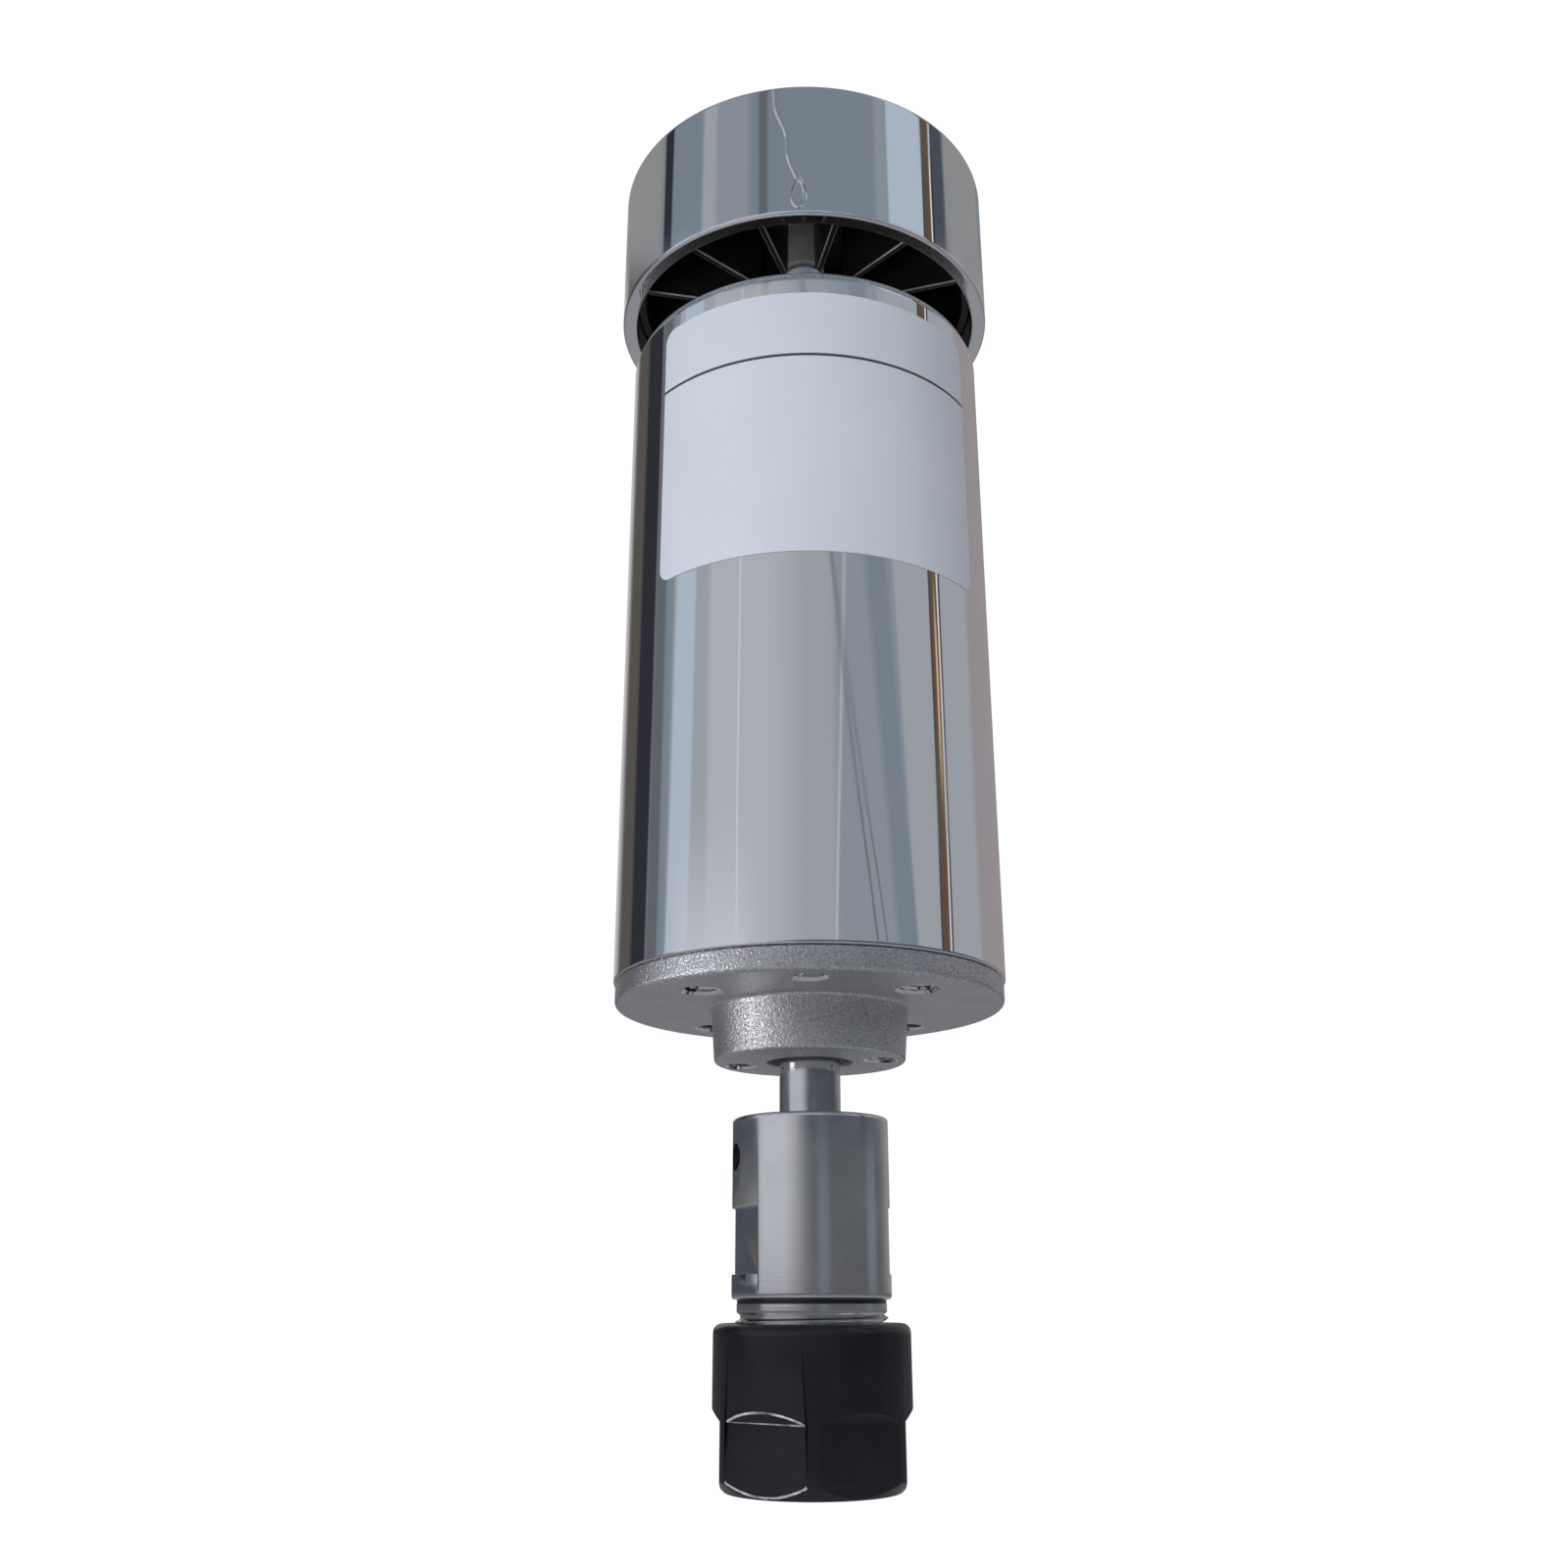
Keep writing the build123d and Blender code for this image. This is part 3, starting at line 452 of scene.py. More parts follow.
carbon = finish(
    "carbon", (0.02, 0.02, 0.02), (0.06, 0.06, 0.06), 0.1, (0.45, 0.65), 900.0,
    grain=(2500.0, 0.00003),
)
brass = finish(
    "brass", (0.62, 0.45, 0.18), (0.78, 0.60, 0.28), 1.0, (0.25, 0.4), 240.0,
    grain=(1200.0, 0.00001),
)
ferrite = finish(
    "ferrite", (0.05, 0.05, 0.055), (0.09, 0.09, 0.095), 0.1, (0.5, 0.7), 400.0,
    grain=(1800.0, 0.00005),
)


# -------- mesh helpers
def outwards(azimuth):
    """Unit vector across the axis at an azimuth."""
    return Vector((sin(radians(azimuth)), -cos(radians(azimuth)), 0))


def put_in_scene(item):
    """Link an object to the scene and return it."""
    bpy.context.scene.collection.objects.link(item)
    return item


def new_piece(name, mesh_data, *materials):
    """Object from a bmesh in millimetres, with its faces smooth and its sharp edges kept."""
    bmesh.ops.remove_doubles(mesh_data, verts=mesh_data.verts, dist=0.00001)
    bmesh.ops.recalc_face_normals(mesh_data, faces=mesh_data.faces)
    bmesh.ops.scale(mesh_data, vec=(0.001, 0.001, 0.001), verts=mesh_data.verts)
    mesh = bpy.data.meshes.new(name)
    mesh_data.to_mesh(mesh)
    mesh_data.free()
    for material in materials:
        mesh.materials.append(material)
    piece = put_in_scene(bpy.data.objects.new(name, mesh))
    smooth(piece)
    return piece


def smooth(piece, angle=32.0):
    """Smooth faces, sharp where two meet at more than the angle."""
    piece.data.shade_smooth()
    piece.data.set_sharp_from_angle(angle=radians(angle))


def rounded(outline, steps=5, support=0.25):
    """Closed outline whose (x, y, rounding) corners become arcs with support points beside them."""
    points = []
    for index, corner in enumerate(outline):
        here = Vector(corner[:2])
        rounding = corner[2] if len(corner) > 2 else 0
        if not rounding:
            points.append(here)
            continue
        back = Vector(outline[index - 1][:2]) - here
        ahead = Vector(outline[(index + 1) % len(outline)][:2]) - here
        half = back.angle(ahead) / 2
        reach = rounding / tan(half)
        inwards = (back.normalized() + ahead.normalized()).normalized()
        centre = here + inwards * (rounding / sin(half))
        first = here + back.normalized() * reach - centre
        turn = first.angle_signed(here + ahead.normalized() * reach - centre)
        if back.length > reach + 2 * support:
            points.append(here + back.normalized() * (reach + support))
        for step in range(steps + 1):
            arm = first.copy()
            arm.rotate(Matrix.Rotation(-turn * step / steps, 2))
            points.append(centre + arm)
        if ahead.length > reach + 2 * support:
            points.append(here + ahead.normalized() * (reach + support))
    return points


def turned_mesh(outline, steps=192, centre=(0.0, 0.0)):
    """Bmesh turned about a line along z from a closed outline of (radius, height, rounding)."""
    made = bmesh.new()
    rings = []
    points = rounded(outline)
    for radius, height in points:
        ring = []
        for step in range(steps):
            angle = 2 * pi * step / steps
            place = (centre[0] + radius * cos(angle), centre[1] + radius * sin(angle), height)
            ring.append(made.verts.new(place))
        rings.append(ring)
    for index, ring in enumerate(rings):
        after = rings[(index + 1) % len(rings)]
        if not points[index][0] and not points[(index + 1) % len(points)][0]:
            continue
        for step in range(steps):
            ahead = (step + 1) % steps
            made.faces.new((ring[step], ring[ahead], after[ahead], after[step]))
    bmesh.ops.dissolve_degenerate(made, dist=0.000001, edges=made.edges)
    return made


def turned(name, outline, *materials, steps=192):
    """Piece turned about the spindle axis."""
    return new_piece(name, turned_mesh(outline, steps), *materials)


def prism_cutter(azimuth, outline, half_width):
    """Block with an outline of (out, height) points at an azimuth, and a width each way from it."""
    made = bmesh.new()
    side = outwards(azimuth + 90)
    ends = []
    for way in (-1, 1):
        aside = side * way * half_width
        ends.append([
            made.verts.new(outwards(azimuth) * out + aside + Vector((0, 0, height)))
            for out, height in outline
        ])
    made.faces.new(ends[0])
    made.faces.new(reversed(ends[1]))
    for index in range(len(outline)):
        ahead = (index + 1) % len(outline)
        made.faces.new((ends[0][index], ends[1][index], ends[1][ahead], ends[0][ahead]))
    return new_piece("cutter", made)


def drill(radius, bottom, top, place, mouth=0.0, steps=50):
    """Round cutter along z at a place. With a mouth radius, it is countersunk at its bottom."""
    outline = [(0, bottom), (radius, bottom), (radius, top), (0, top)]
    if mouth:
        outline[:2] = [
            (0, bottom - 1), (mouth + 1, bottom - 1), (radius, bottom + mouth - radius),
        ]
    return new_piece("cutter", turned_mesh(outline, steps, place[:2]), machined_aluminium)


def drills(radius, bottom, top, places, mouth=0.0):
    """The same drill at each place."""
    return [drill(radius, bottom, top, place, mouth) for place in places]


def radial_drill(radius, azimuth, height, start, end, steps=48):
    """Round cutter that points outwards at an azimuth."""
    made = turned_mesh([(0, start), (radius, start), (radius, end), (0, end)], steps)
    lean = Vector((0, 0, 1)).rotation_difference(outwards(azimuth)).to_matrix().to_4x4()
    bmesh.ops.transform(made, matrix=Matrix.Translation((0, 0, height)) @ lean, verts=made.verts)
    return new_piece("cutter", made)


def make_plain(piece):
    """Put what the piece's modifiers make into its own mesh."""
    depsgraph = bpy.context.evaluated_depsgraph_get()
    mesh = bpy.data.meshes.new_from_object(piece.evaluated_get(depsgraph), depsgraph=depsgraph)
    piece.modifiers.clear()
    mesh.name = piece.name
    piece.data = mesh


def cut(piece, *cutters):
    """Take the cutters out of the piece."""
    for cutter in cutters:
        if not cutter.data.materials:
            for material in piece.data.materials:
                cutter.data.materials.append(material)
        hollow = piece.modifiers.new("cut", "BOOLEAN")
        hollow.operation = "DIFFERENCE"
        hollow.solver = "EXACT"
        hollow.material_mode = "TRANSFER"
        hollow.object = cutter
    make_plain(piece)
    for cutter in cutters:
        bpy.data.objects.remove(cutter)
    smooth(piece)


def coil_ridge(root, crest, pitch, bottom, top, centre=(0.0, 0.0), steps=28):
    """Thread ridge that climbs between two heights, from its root radius to its crest radius."""
    made = bmesh.new()
    count = int((top - bottom - pitch) / pitch * steps)
    rows = []
    section = ((root, -0.46), (crest, -0.07), (crest, 0.07), (root, 0.46))
    for step in range(count + 1):
        angle = 2 * pi * step / steps
        height = bottom + pitch / 2 + pitch * step / steps
        rows.append([
            made.verts.new((
                centre[0] + radius * cos(angle), centre[1] + radius * sin(angle),
                height + pitch * share,
            ))
            for radius, share in section
        ])
    for before, after in zip(rows, rows[1:]):
        for index in range(4):
            ahead = (index + 1) % 4
            made.faces.new((before[index], before[ahead], after[ahead], after[index]))
    made.faces.new(rows[0])
    made.faces.new(reversed(rows[-1]))
    return made


# -------- pattern round the axis
def ring_pattern_tree():
    """Geometry Nodes tree that repeats a part round the axis at even angles."""
    tree = bpy.data.node_groups.new("ring_pattern", "GeometryNodeTree")
    sockets = tree.interface
    sockets.new_socket("Geometry", in_out="OUTPUT", socket_type="NodeSocketGeometry")
    kinds = {"Part": "Object", "Count": "Int", "First Angle": "Float", "Material": "Material"}
    for name, kind in kinds.items():
        sockets.new_socket(name, in_out="INPUT", socket_type="NodeSocket" + kind)
    given = add_node(tree, "NodeGroupInput")
    part = add_node(tree, "GeometryNodeObjectInfo")
    points = add_node(tree, "GeometryNodePoints")
    number = add_node(tree, "GeometryNodeInputIndex")
    step = math_node(tree, "DIVIDE", 2 * pi, given.outputs["Count"])
    first = given.outputs["First Angle"]
    angle = math_node(tree, "MULTIPLY_ADD", number.outputs["Index"], step, first)
    turn = add_node(tree, "ShaderNodeCombineXYZ")
    rotation = add_node(tree, "FunctionNodeEulerToRotation")
    copies = add_node(tree, "GeometryNodeInstanceOnPoints")
    real = add_node(tree, "GeometryNodeRealizeInstances")
    painted = add_node(tree, "GeometryNodeSetMaterial")
    result = add_node(tree, "NodeGroupOutput")
    plug(tree, part, Object=given.outputs["Part"])
    plug(tree, points, Count=given.outputs["Count"])
    plug(tree, turn, Z=angle)
    plug(tree, rotation, Euler=turn.outputs["Vector"])
    plug(
        tree, copies, Points=points.outputs["Points"], Instance=part.outputs["Geometry"],
        Rotation=rotation.outputs["Rotation"],
    )
    plug(tree, real, Geometry=copies.outputs["Instances"])
    plug(tree, painted, Geometry=real.outputs["Geometry"], Material=given.outputs["Material"])
    plug(tree, result, Geometry=painted.outputs["Geometry"])
    return tree


ring_pattern = ring_pattern_tree()


def repeated(name, part, count, first_azimuth, material):
    """Copies round the axis of a part that is built at azimuth 0."""
    piece = put_in_scene(bpy.data.objects.new(name, bpy.data.meshes.new(name)))
    pattern = piece.modifiers.new("pattern", "NODES")
    pattern.node_group = ring_pattern
    values = {
        "Part": part, "Count": count, "First Angle": radians(first_azimuth), "Material": material,
    }
    for item in ring_pattern.interface.items_tree:
        if item.in_out == "INPUT":
            pattern[item.identifier] = values[item.name]
    make_plain(piece)
    bpy.data.objects.remove(part)
    smooth(piece)
    return piece


# -------- body tube and label
motor_tube = turned(
    "body_tube",
    [
        (tube_bore, tube_bottom, 0.2),
        (body_radius, tube_bottom, 0.2),
        (body_radius, tube_top, 0.4),
        (tube_bore, tube_top, 0.2),
    ],
    plated_steel,
    steps=256,
)
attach(motor_tube, "stator")
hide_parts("motor_tube")


def label_piece():
    """Curved film with round corners, stuck on the tube."""
    made = bmesh.new()
    first = label_first_azimuth
    last = label_last_azimuth
    width = radians(last - first) * body_radius
    places = [label_corner * (1 - cos(radians(6 * step))) for step in range(16)]
    places += [label_corner + (width - 2 * label_corner) * step / 90 for step in range(1, 90)]
    places += [width - place for place in reversed(places[:16])]
    levels = 6
    outer, inner = [], []
    for place in places:
        inset = max(label_corner - place, label_corner - (width - place), 0)
        drop = label_corner - (label_corner**2 - inset**2) ** 0.5
        low = label_bottom + drop
        high = label_bottom + label_height - drop
        for radius, rows in ((body_radius + label_thickness, outer), (body_radius, inner)):
            out = outwards(first + (last - first) * place / width) * radius
            rows.append([
                made.verts.new(out + Vector((0, 0, low + (high - low) * level / levels)))
                for level in range(levels + 1)
            ])
    for column in range(len(places) - 1):
        for level in range(levels):
            for rows in (outer, inner):
                made.faces.new((
                    rows[column][level], rows[column + 1][level],
                    rows[column + 1][level + 1], rows[column][level + 1],
                ))
        for level in (0, levels):
            made.faces.new((
                outer[column][level], outer[column + 1][level],
                inner[column + 1][level], inner[column][level],
            ))
    for column in (0, -1):
        for level in range(levels):
            made.faces.new((
                outer[column][level], outer[column][level + 1],
                inner[column][level + 1], inner[column][level],
            ))
    return new_piece("blank_label", made, label_film)


label = label_piece()
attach(label, "stator")
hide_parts("rating_label")

# -------- front cap
front_cap = turned(
    "front_cap",
    [
        (nose_hole_radius, nose_tip, 0.25),
        (nose_tip_radius, nose_tip, 0.5),
        (nose_root_radius, 0, 0.5),
        (flange_radius, 0, 0.7),
        (flange_radius, tube_bottom - 0.22, 0.1),
        (flange_radius - 0.3, tube_bottom),
        (spigot_radius, tube_bottom),
        (spigot_radius, spigot_top, 0.3),
        (spigot_bore, spigot_top, 0.3),
        (spigot_bore, front_bearing_top),
        (front_seat_radius, front_bearing_top, 0.3),
        (front_seat_radius, front_bearing_bottom),
        (nose_hole_radius, front_bearing_bottom, 0.2),
    ],
    cast_aluminium,
    steps=256,
)
mount_azimuths = [mount_first_azimuth + 90 * number for number in range(mount_count)]
mount_places = [outwards(azimuth) * mount_circle_radius for azimuth in mount_azimuths]
nose_places = [outwards(nose_first_azimuth + turn) * nose_circle_radius for turn in (0, 180)]
bolt_places = [outwards(turn) * bolt_circle_radius for turn in (0, 180)]
nose_hole_top = nose_tip + nose_screw_hole_depth
cut(
    front_cap,
    *drills(mount_thread_radius, 0, mount_hole_depth, mount_places, mount_hole_mouth),
    *drills(nose_thread_radius, nose_tip, nose_hole_top, nose_places, nose_hole_mouth),
    *drills(bolt_radius + press_gap, 0, spigot_top + 1, bolt_places, bolt_hole_mouth),
)
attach(front_cap, "stator")
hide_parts("front_end_cap")


def hole_threads(name, radius, depth, pitch, bottom, top, circle_radius, count, first_azimuth):
    """Thread ridges in the holes of one circle."""
    place = (0.0, -circle_radius)
    ridge = coil_ridge(radius + press_gap, radius - depth, pitch, bottom, top, place)
    return repeated(name, new_piece("ridge", ridge), count, first_azimuth, machined_aluminium)


mount_threads = hole_threads(
    "mount_threads", mount_thread_radius, mount_thread_depth, mount_thread_pitch, 0.35,
    mount_hole_depth, mount_circle_radius, mount_count, mount_first_azimuth,
)
nose_threads = hole_threads(
    "nose_threads", nose_thread_radius, nose_thread_depth, nose_thread_pitch, nose_tip + 0.3,
    nose_hole_top, nose_circle_radius, len(nose_places), nose_first_azimuth,
)
for threads in (mount_threads, nose_threads):
    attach(threads, "stator")

# -------- rear cap and long bolts
rear_cap = turned(
    "rear_cap",
    [
        (rear_hole_radius, rear_boss_top, 0.2),
        (rear_boss_radius, rear_boss_top, 0.3),
        (rear_boss_radius, motor_top, 0.3),
        (rear_flange_radius, motor_top, 0.35),
        (rear_flange_radius, tube_top),
        (spigot_radius, tube_top),
        (spigot_radius, rear_spigot_bottom, 0.3),
        (rear_spigot_bore, rear_spigot_bottom, 0.3),
        (rear_spigot_bore, rear_floor),
        (rear_boss_radius, rear_floor),
        (rear_boss_radius, rear_bearing_bottom, 0.3),
        (rear_seat_radius, rear_bearing_bottom, 0.2),
        (rear_seat_radius, rear_seat_top),
        (rear_hole_radius, rear_seat_top, 0.2),
    ],
    cast_aluminium,
    steps=256,
)
terminal_places = [
    outwards(side) * terminal_radius for side in (terminal_azimuth, -terminal_azimuth)
]
cut(
    rear_cap,
    *drills(bolt_radius + 0.2, rear_spigot_bottom - 1, motor_top + 1, bolt_places),
    *drills(insulator_radius + press_gap, rear_floor - 1, motor_top + 1, terminal_places),
)
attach(rear_cap, "stator")
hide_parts("rear_end_cap")

long_bolt = new_piece(
    "bolt",
    turned_mesh(
        [
            (0, bolt_tip),
            (bolt_radius - 0.35, bolt_tip, 0.1),
            (bolt_radius, bolt_tip + 0.4),
            (bolt_radius, motor_top),
            (bolt_head_radius, motor_top, 0.25),
            (bolt_head_radius, motor_top + bolt_head_height, 0.8),
            (0, motor_top + bolt_head_height),
        ],
        48,
        (0.0, -bolt_circle_radius),
    ),
)
head_top = motor_top + bolt_head_height
recess = (bolt_recess_reach, bolt_recess_half_width)
cut(
    long_bolt,
    *[
        prism_cutter(
            0,
            [
                (bolt_circle_radius + way * reach, head_top + height)
                for way, height in (
                    (-1, -bolt_recess_depth), (-1, 1), (1, 1), (1, -bolt_recess_depth),
                )
            ],
            half_width,
        )
        for reach, half_width in (recess, recess[::-1])
    ],
)
long_bolts = repeated("long_bolts", long_bolt, 2, 0, zinc_steel)
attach(long_bolts, "stator")
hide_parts("through_bolts")

# -------- shaft
shaft = turned(
    "spindle_shaft",
    [
        (0, shaft_bottom),
        (front_shaft_radius, shaft_bottom, 0.3),
        (front_shaft_radius, rear_bearing_bottom, 0.1),
        (rear_shaft_radius, rear_bearing_bottom),
        (rear_shaft_radius, shaft_top, 0.25),
        (0.9, shaft_top, 0.1),
        (0, shaft_top - 0.9),
    ],
    ground_steel,
    steps=96,
)
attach(shaft, "rotor")
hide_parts("motor_shaft")

# -------- fan
ring = turned(
    "fan_band",
    [
        (fan_bore, fan_bottom, 0.25),
        (fan_radius, fan_bottom, 0.4),
        (fan_radius, fan_top, 0.4),
        (fan_bore, fan_top, 0.25),
    ],
    creased_steel,
    steps=256,
)
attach(ring, "rotor")
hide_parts("fan_ring")

shell = turned(
    "fan_shell",
    [
        (bush_radius + press_gap, roof_bottom, 0.1),
        (skirt_bore, roof_bottom, 0.6),
        (skirt_bore, blade_bottom, 0.3),
        (fan_bore - press_gap, blade_bottom, 0.3),
        (fan_bore - press_gap, roof_top, 0.3),
        (bush_radius + press_gap, roof_top, 0.2),
    ],
    black_plastic,
    steps=192,
)
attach(shell, "rotor")
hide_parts("fan_disc", "fan_skirt")


def blade_part():
    """Moulded blade at azimuth 0: thinner at its rounded lower edge than at the roof."""
    made = bmesh.new()
    bmesh.ops.create_cube(made, size=1)
    length = skirt_bore - blade_inner_radius + 0.3
    for corner in made.verts:
        upper = corner.co.z > 0
        thickness = blade_thickness if upper else blade_thickness - 0.3
        out = blade_inner_radius + (corner.co.y < 0) * length
        if corner.co.y > 0 and not upper:
            out += 0.5
        corner.co = Vector((
            thickness * (1 if corner.co.x > 0 else -1) / 2,
            -out,
            roof_bottom + 0.1 if upper else blade_bottom,
        ))
    def edges_where(holds):
        return [edge for edge in made.edges if all(holds(end.co) for end in edge.verts)]

    rounded_edges = edges_where(lambda place: place.y > -blade_inner_radius - 1)
    rounded_edges += edges_where(lambda place: place.z < roof_bottom)
    bmesh.ops.bevel(
        made, geom=list(set(rounded_edges)), offset=0.25, segments=3, profile=0.5, affect="EDGES"
    )
    return new_piece("blade", made)


blades = repeated("fan_vanes", blade_part(), blade_count, blade_first_azimuth, vane_plastic)
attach(blades, "rotor")
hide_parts("fan_blades")

bush = turned(
    "hub_bush",
    [
        (rear_shaft_radius + press_gap, bush_bottom, 0.15),
        (bush_radius, bush_bottom, 0.25),
        (bush_radius, bush_flange_bottom, 0.1),
        (bush_flange_radius, bush_flange_bottom, 0.15),
        (bush_flange_radius, roof_bottom),
        (bush_radius, roof_bottom),
        (bush_radius, roof_top, 0.2),
        (rear_shaft_radius + press_gap, roof_top, 0.15),
    ],
    bush_steel,
    steps=96,
)
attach(bush, "rotor")
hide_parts("fan_bush")


# -------- painted edge highlights
def paint_edge_highlights(piece, bottom, top, inner, azimuth, spread, width):
    """Painted highlight: a narrow bright strip on the sharp edges of the flats facing an azimuth
    and its opposite.

    Edges along the axis keep their finish; the others get the painted highlight.
    """
    def is_flat(normal):
        """Upright, level, or at the 45 degrees of a run-out."""
        return abs(normal.z) < 0.001 or abs(normal.z) > 0.999 or 0.69 < -normal.z < 0.72

    highlight_mesh = bmesh.new()
    highlight_mesh.from_mesh(piece.data)
    weight = highlight_mesh.edges.layers.float.new("bevel_weight_edge")
    facing = outwards(azimuth)
    for edge in highlight_mesh.edges:
        first, last = (end.co for end in edge.verts)
        middle = (first + last) * 500
        out = middle.xy.length
        if not (bottom < middle.z < top and out > inner and edge.is_manifold):
            continue
        if edge.calc_face_angle(0) < radians(9):
            continue
        if abs(middle.dot(facing)) < out * cos(radians(spread)):
            continue
        lengthwise = abs((first - last).normalized().z) > 0.999
        if any(is_flat(face.normal) for face in edge.link_faces) and not lengthwise:
            edge[weight] = 1.0
    highlight_mesh.to_mesh(piece.data)
    highlight_mesh.free()
    strip = piece.modifiers.new("wear", "BEVEL")
    strip.limit_method = "WEIGHT"
    strip.width = width / 1000
    strip.segments = 2
    strip.material = 1
    strip.use_clamp_overlap = False
    make_plain(piece)
    smooth(piece, 40.0)


# -------- collet holder
holder = turned(
    "holder_body",
    [
        (front_shaft_radius + press_gap, holder_top, 0.4),
        (holder_radius, holder_top, 0.4),
        (holder_radius, holder_shoulder, 0.45),
        (neck_root_radius, holder_shoulder, 0.15),
        (neck_root_radius, thread_start, 0.1),
        (thread_root_radius, thread_start - 0.3),
        (thread_root_radius, holder_front, 0.2),
        (socket_mouth_radius, holder_front, 0.2),
        (socket_back_radius, socket_back),
        (front_shaft_radius + press_gap, socket_back),
    ],
    turned_steel,
    machined_aluminium,
    steps=256,
)
flat_bottom = flat_top - flat_height
# shallow groove under the shoulder, lined with black oxide: painted shade
shade_groove_bore = neck_root_radius - 0.05
shade_groove_top = holder_shoulder - 0.03
shade_groove_bottom = holder_shoulder - 0.5
flat_block = [
    (flat_across / 2, flat_top), (flat_across / 2, flat_bottom), (holder_radius + 2, flat_bottom),
    (holder_radius + 2, flat_top),
]
cut(
    holder,
    # cutter that lines the groove with black oxide, painting shade under the shoulder
    turned(
        "cutter",
        [
            (shade_groove_bore, shade_groove_bottom), (holder_radius + 1, shade_groove_bottom),
            (holder_radius + 1, shade_groove_top), (shade_groove_bore, shade_groove_top),
        ],
        black_oxide,
    ),
    *[prism_cutter(flat_azimuth + turn, flat_block, holder_radius) for turn in (0, 180)],
    *[
        radial_drill(screw_hole_radius, flat_azimuth + turn, screw_height, 3.0, holder_radius + 2)
        for turn in (0, 180)
    ],
)
# painted highlight: a machined-aluminium strip on the edges of the holder's two flats
paint_edge_highlights(
    holder, flat_bottom - 0.1, flat_top + 0.1, holder_radius - 0.05, flat_azimuth,
    spread=60, width=0.07,
)
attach(holder, "rotor")
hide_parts("collet_holder")

neck_thread = new_piece(
    "neck_thread",
    coil_ridge(
        thread_root_radius - 0.05, thread_crest_radius, thread_pitch, holder_front,
        thread_start, steps=96,
    ),
    turned_steel,
)
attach(neck_thread, "rotor")

# -------- collet nut
nut = turned(
    "clamping_nut",
    [
        (nut_bore, nut_top, 0.6),
        (nut_radius, nut_top, 1.1),
        (nut_radius, nut_front + 1.5, 0.3),
        (nut_radius - 1.5, nut_front, 0.25),
        (nut_mouth_radius, nut_front, 0.25),
        (nut_seat_radius, nut_seat_top),
        (nut_seat_radius, nut_lip_bottom),
        (nut_lip_bore, nut_lip_bottom),
        (nut_lip_bore, nut_lip_top),
        (nut_relief_bore, nut_lip_top),
        (nut_relief_bore, nut_thread_end),
        (nut_bore, nut_thread_end),
    ],
    black_oxide,
    worn_steel,
    steps=120,
)
flat_radius = nut_flat_across / 2
run_out = nut_radius - flat_radius + 1
flat_outline = [
    (flat_radius, nut_front - 1), (flat_radius, nut_front + nut_flat_height),
    (flat_radius + run_out, nut_front + nut_flat_height + run_out),
    (flat_radius + run_out, nut_front - 1),
]
cut(
    nut,
    *[
        prism_cutter(nut_flat_first_azimuth + 60 * number, flat_outline, nut_radius)
        for number in range(6)
    ],
)
# painted highlight: a bright strip on the edges of the nut's flats at azimuth -30 and 150
paint_edge_highlights(
    nut, nut_front + 0.02, nut_front + nut_flat_height + run_out, flat_radius - 0.05,
    nut_flat_first_azimuth - 60, spread=33, width=0.15,
)
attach(nut, "nut")
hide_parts("collet_nut")

# -------- finishes of the other nodes
finishes = {
    "magnets": ferrite,
    "preload_washer": zinc_steel,
    "armature_core": lamination,
    "armature_end_plates": fibre,
    "armature_windings": copper,
    "shaft_spacer": fibre,
    "commutator_sleeve": fibre,
    "commutator_segments": copper,
    "brush_left": carbon,
    "brush_right": carbon,
    "brush_tubes": brass,
    "brush_plate": fibre,
    "terminal_insulators": nylon,
    "terminals": brass,
    "holder_set_screws": black_oxide,
    "collet": turned_steel,
}
for end in ("front", "rear"):
    for piece_name in ("outer_ring", "inner_ring", "balls"):
        finishes[end + "_bearing_" + piece_name] = ground_steel
    finishes[end + "_bearing_cage"] = nylon
    finishes[end + "_bearing_shields"] = zinc_steel
for name, material in finishes.items():
    for slot in cad_nodes[name].material_slots:
        slot.material = material

# -------- brush springs
for side, way in (("left", -1), ("right", 1)):
    node = cad_nodes["brush_spring_" + side]
    coil = node.data.copy()
    coil.transform(node.matrix_world)
    coil.materials.clear()
    coil.materials.append(zinc_steel)
    spring = put_in_scene(bpy.data.objects.new("coil_spring_" + side, coil))
    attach(spring, "stator")
    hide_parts("brush_spring_" + side)
    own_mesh(spring)


# -------- floor, studio and lamps
def pale_floor():
    """Plain pale floor that looks white to the camera and keeps a soft shadow."""
    bpy.ops.mesh.primitive_plane_add(size=80, location=(0, 0, floor_height))
    floor = bpy.context.object
    floor.name = "floor"
    material = bpy.data.materials.new("pale_floor")
    material.use_nodes = True
    tree = material.node_tree
    tree.nodes.clear()
    ray = add_node(tree, "ShaderNodeLightPath")
    lit = set_inputs(add_node(tree, "ShaderNodeBsdfDiffuse"), Color=(0.30, 0.30, 0.31, 1.0))
    white = add_node(tree, "ShaderNodeEmission")
    set_inputs(white, Color=(1.0, 1.0, 1.0, 1.0), Strength=1.06)
    share = add_node(tree, "ShaderNodeMixShader")
    result = add_node(tree, "ShaderNodeOutputMaterial")
    plug(tree, share, Fac=math_node(tree, "MULTIPLY", ray.outputs["Is Camera Ray"], 0.96))
    tree.links.new(lit.outputs[0], share.inputs[1])
    tree.links.new(white.outputs[0], share.inputs[2])
    plug(tree, result, Surface=share.outputs[0])
    floor.data.materials.append(material)


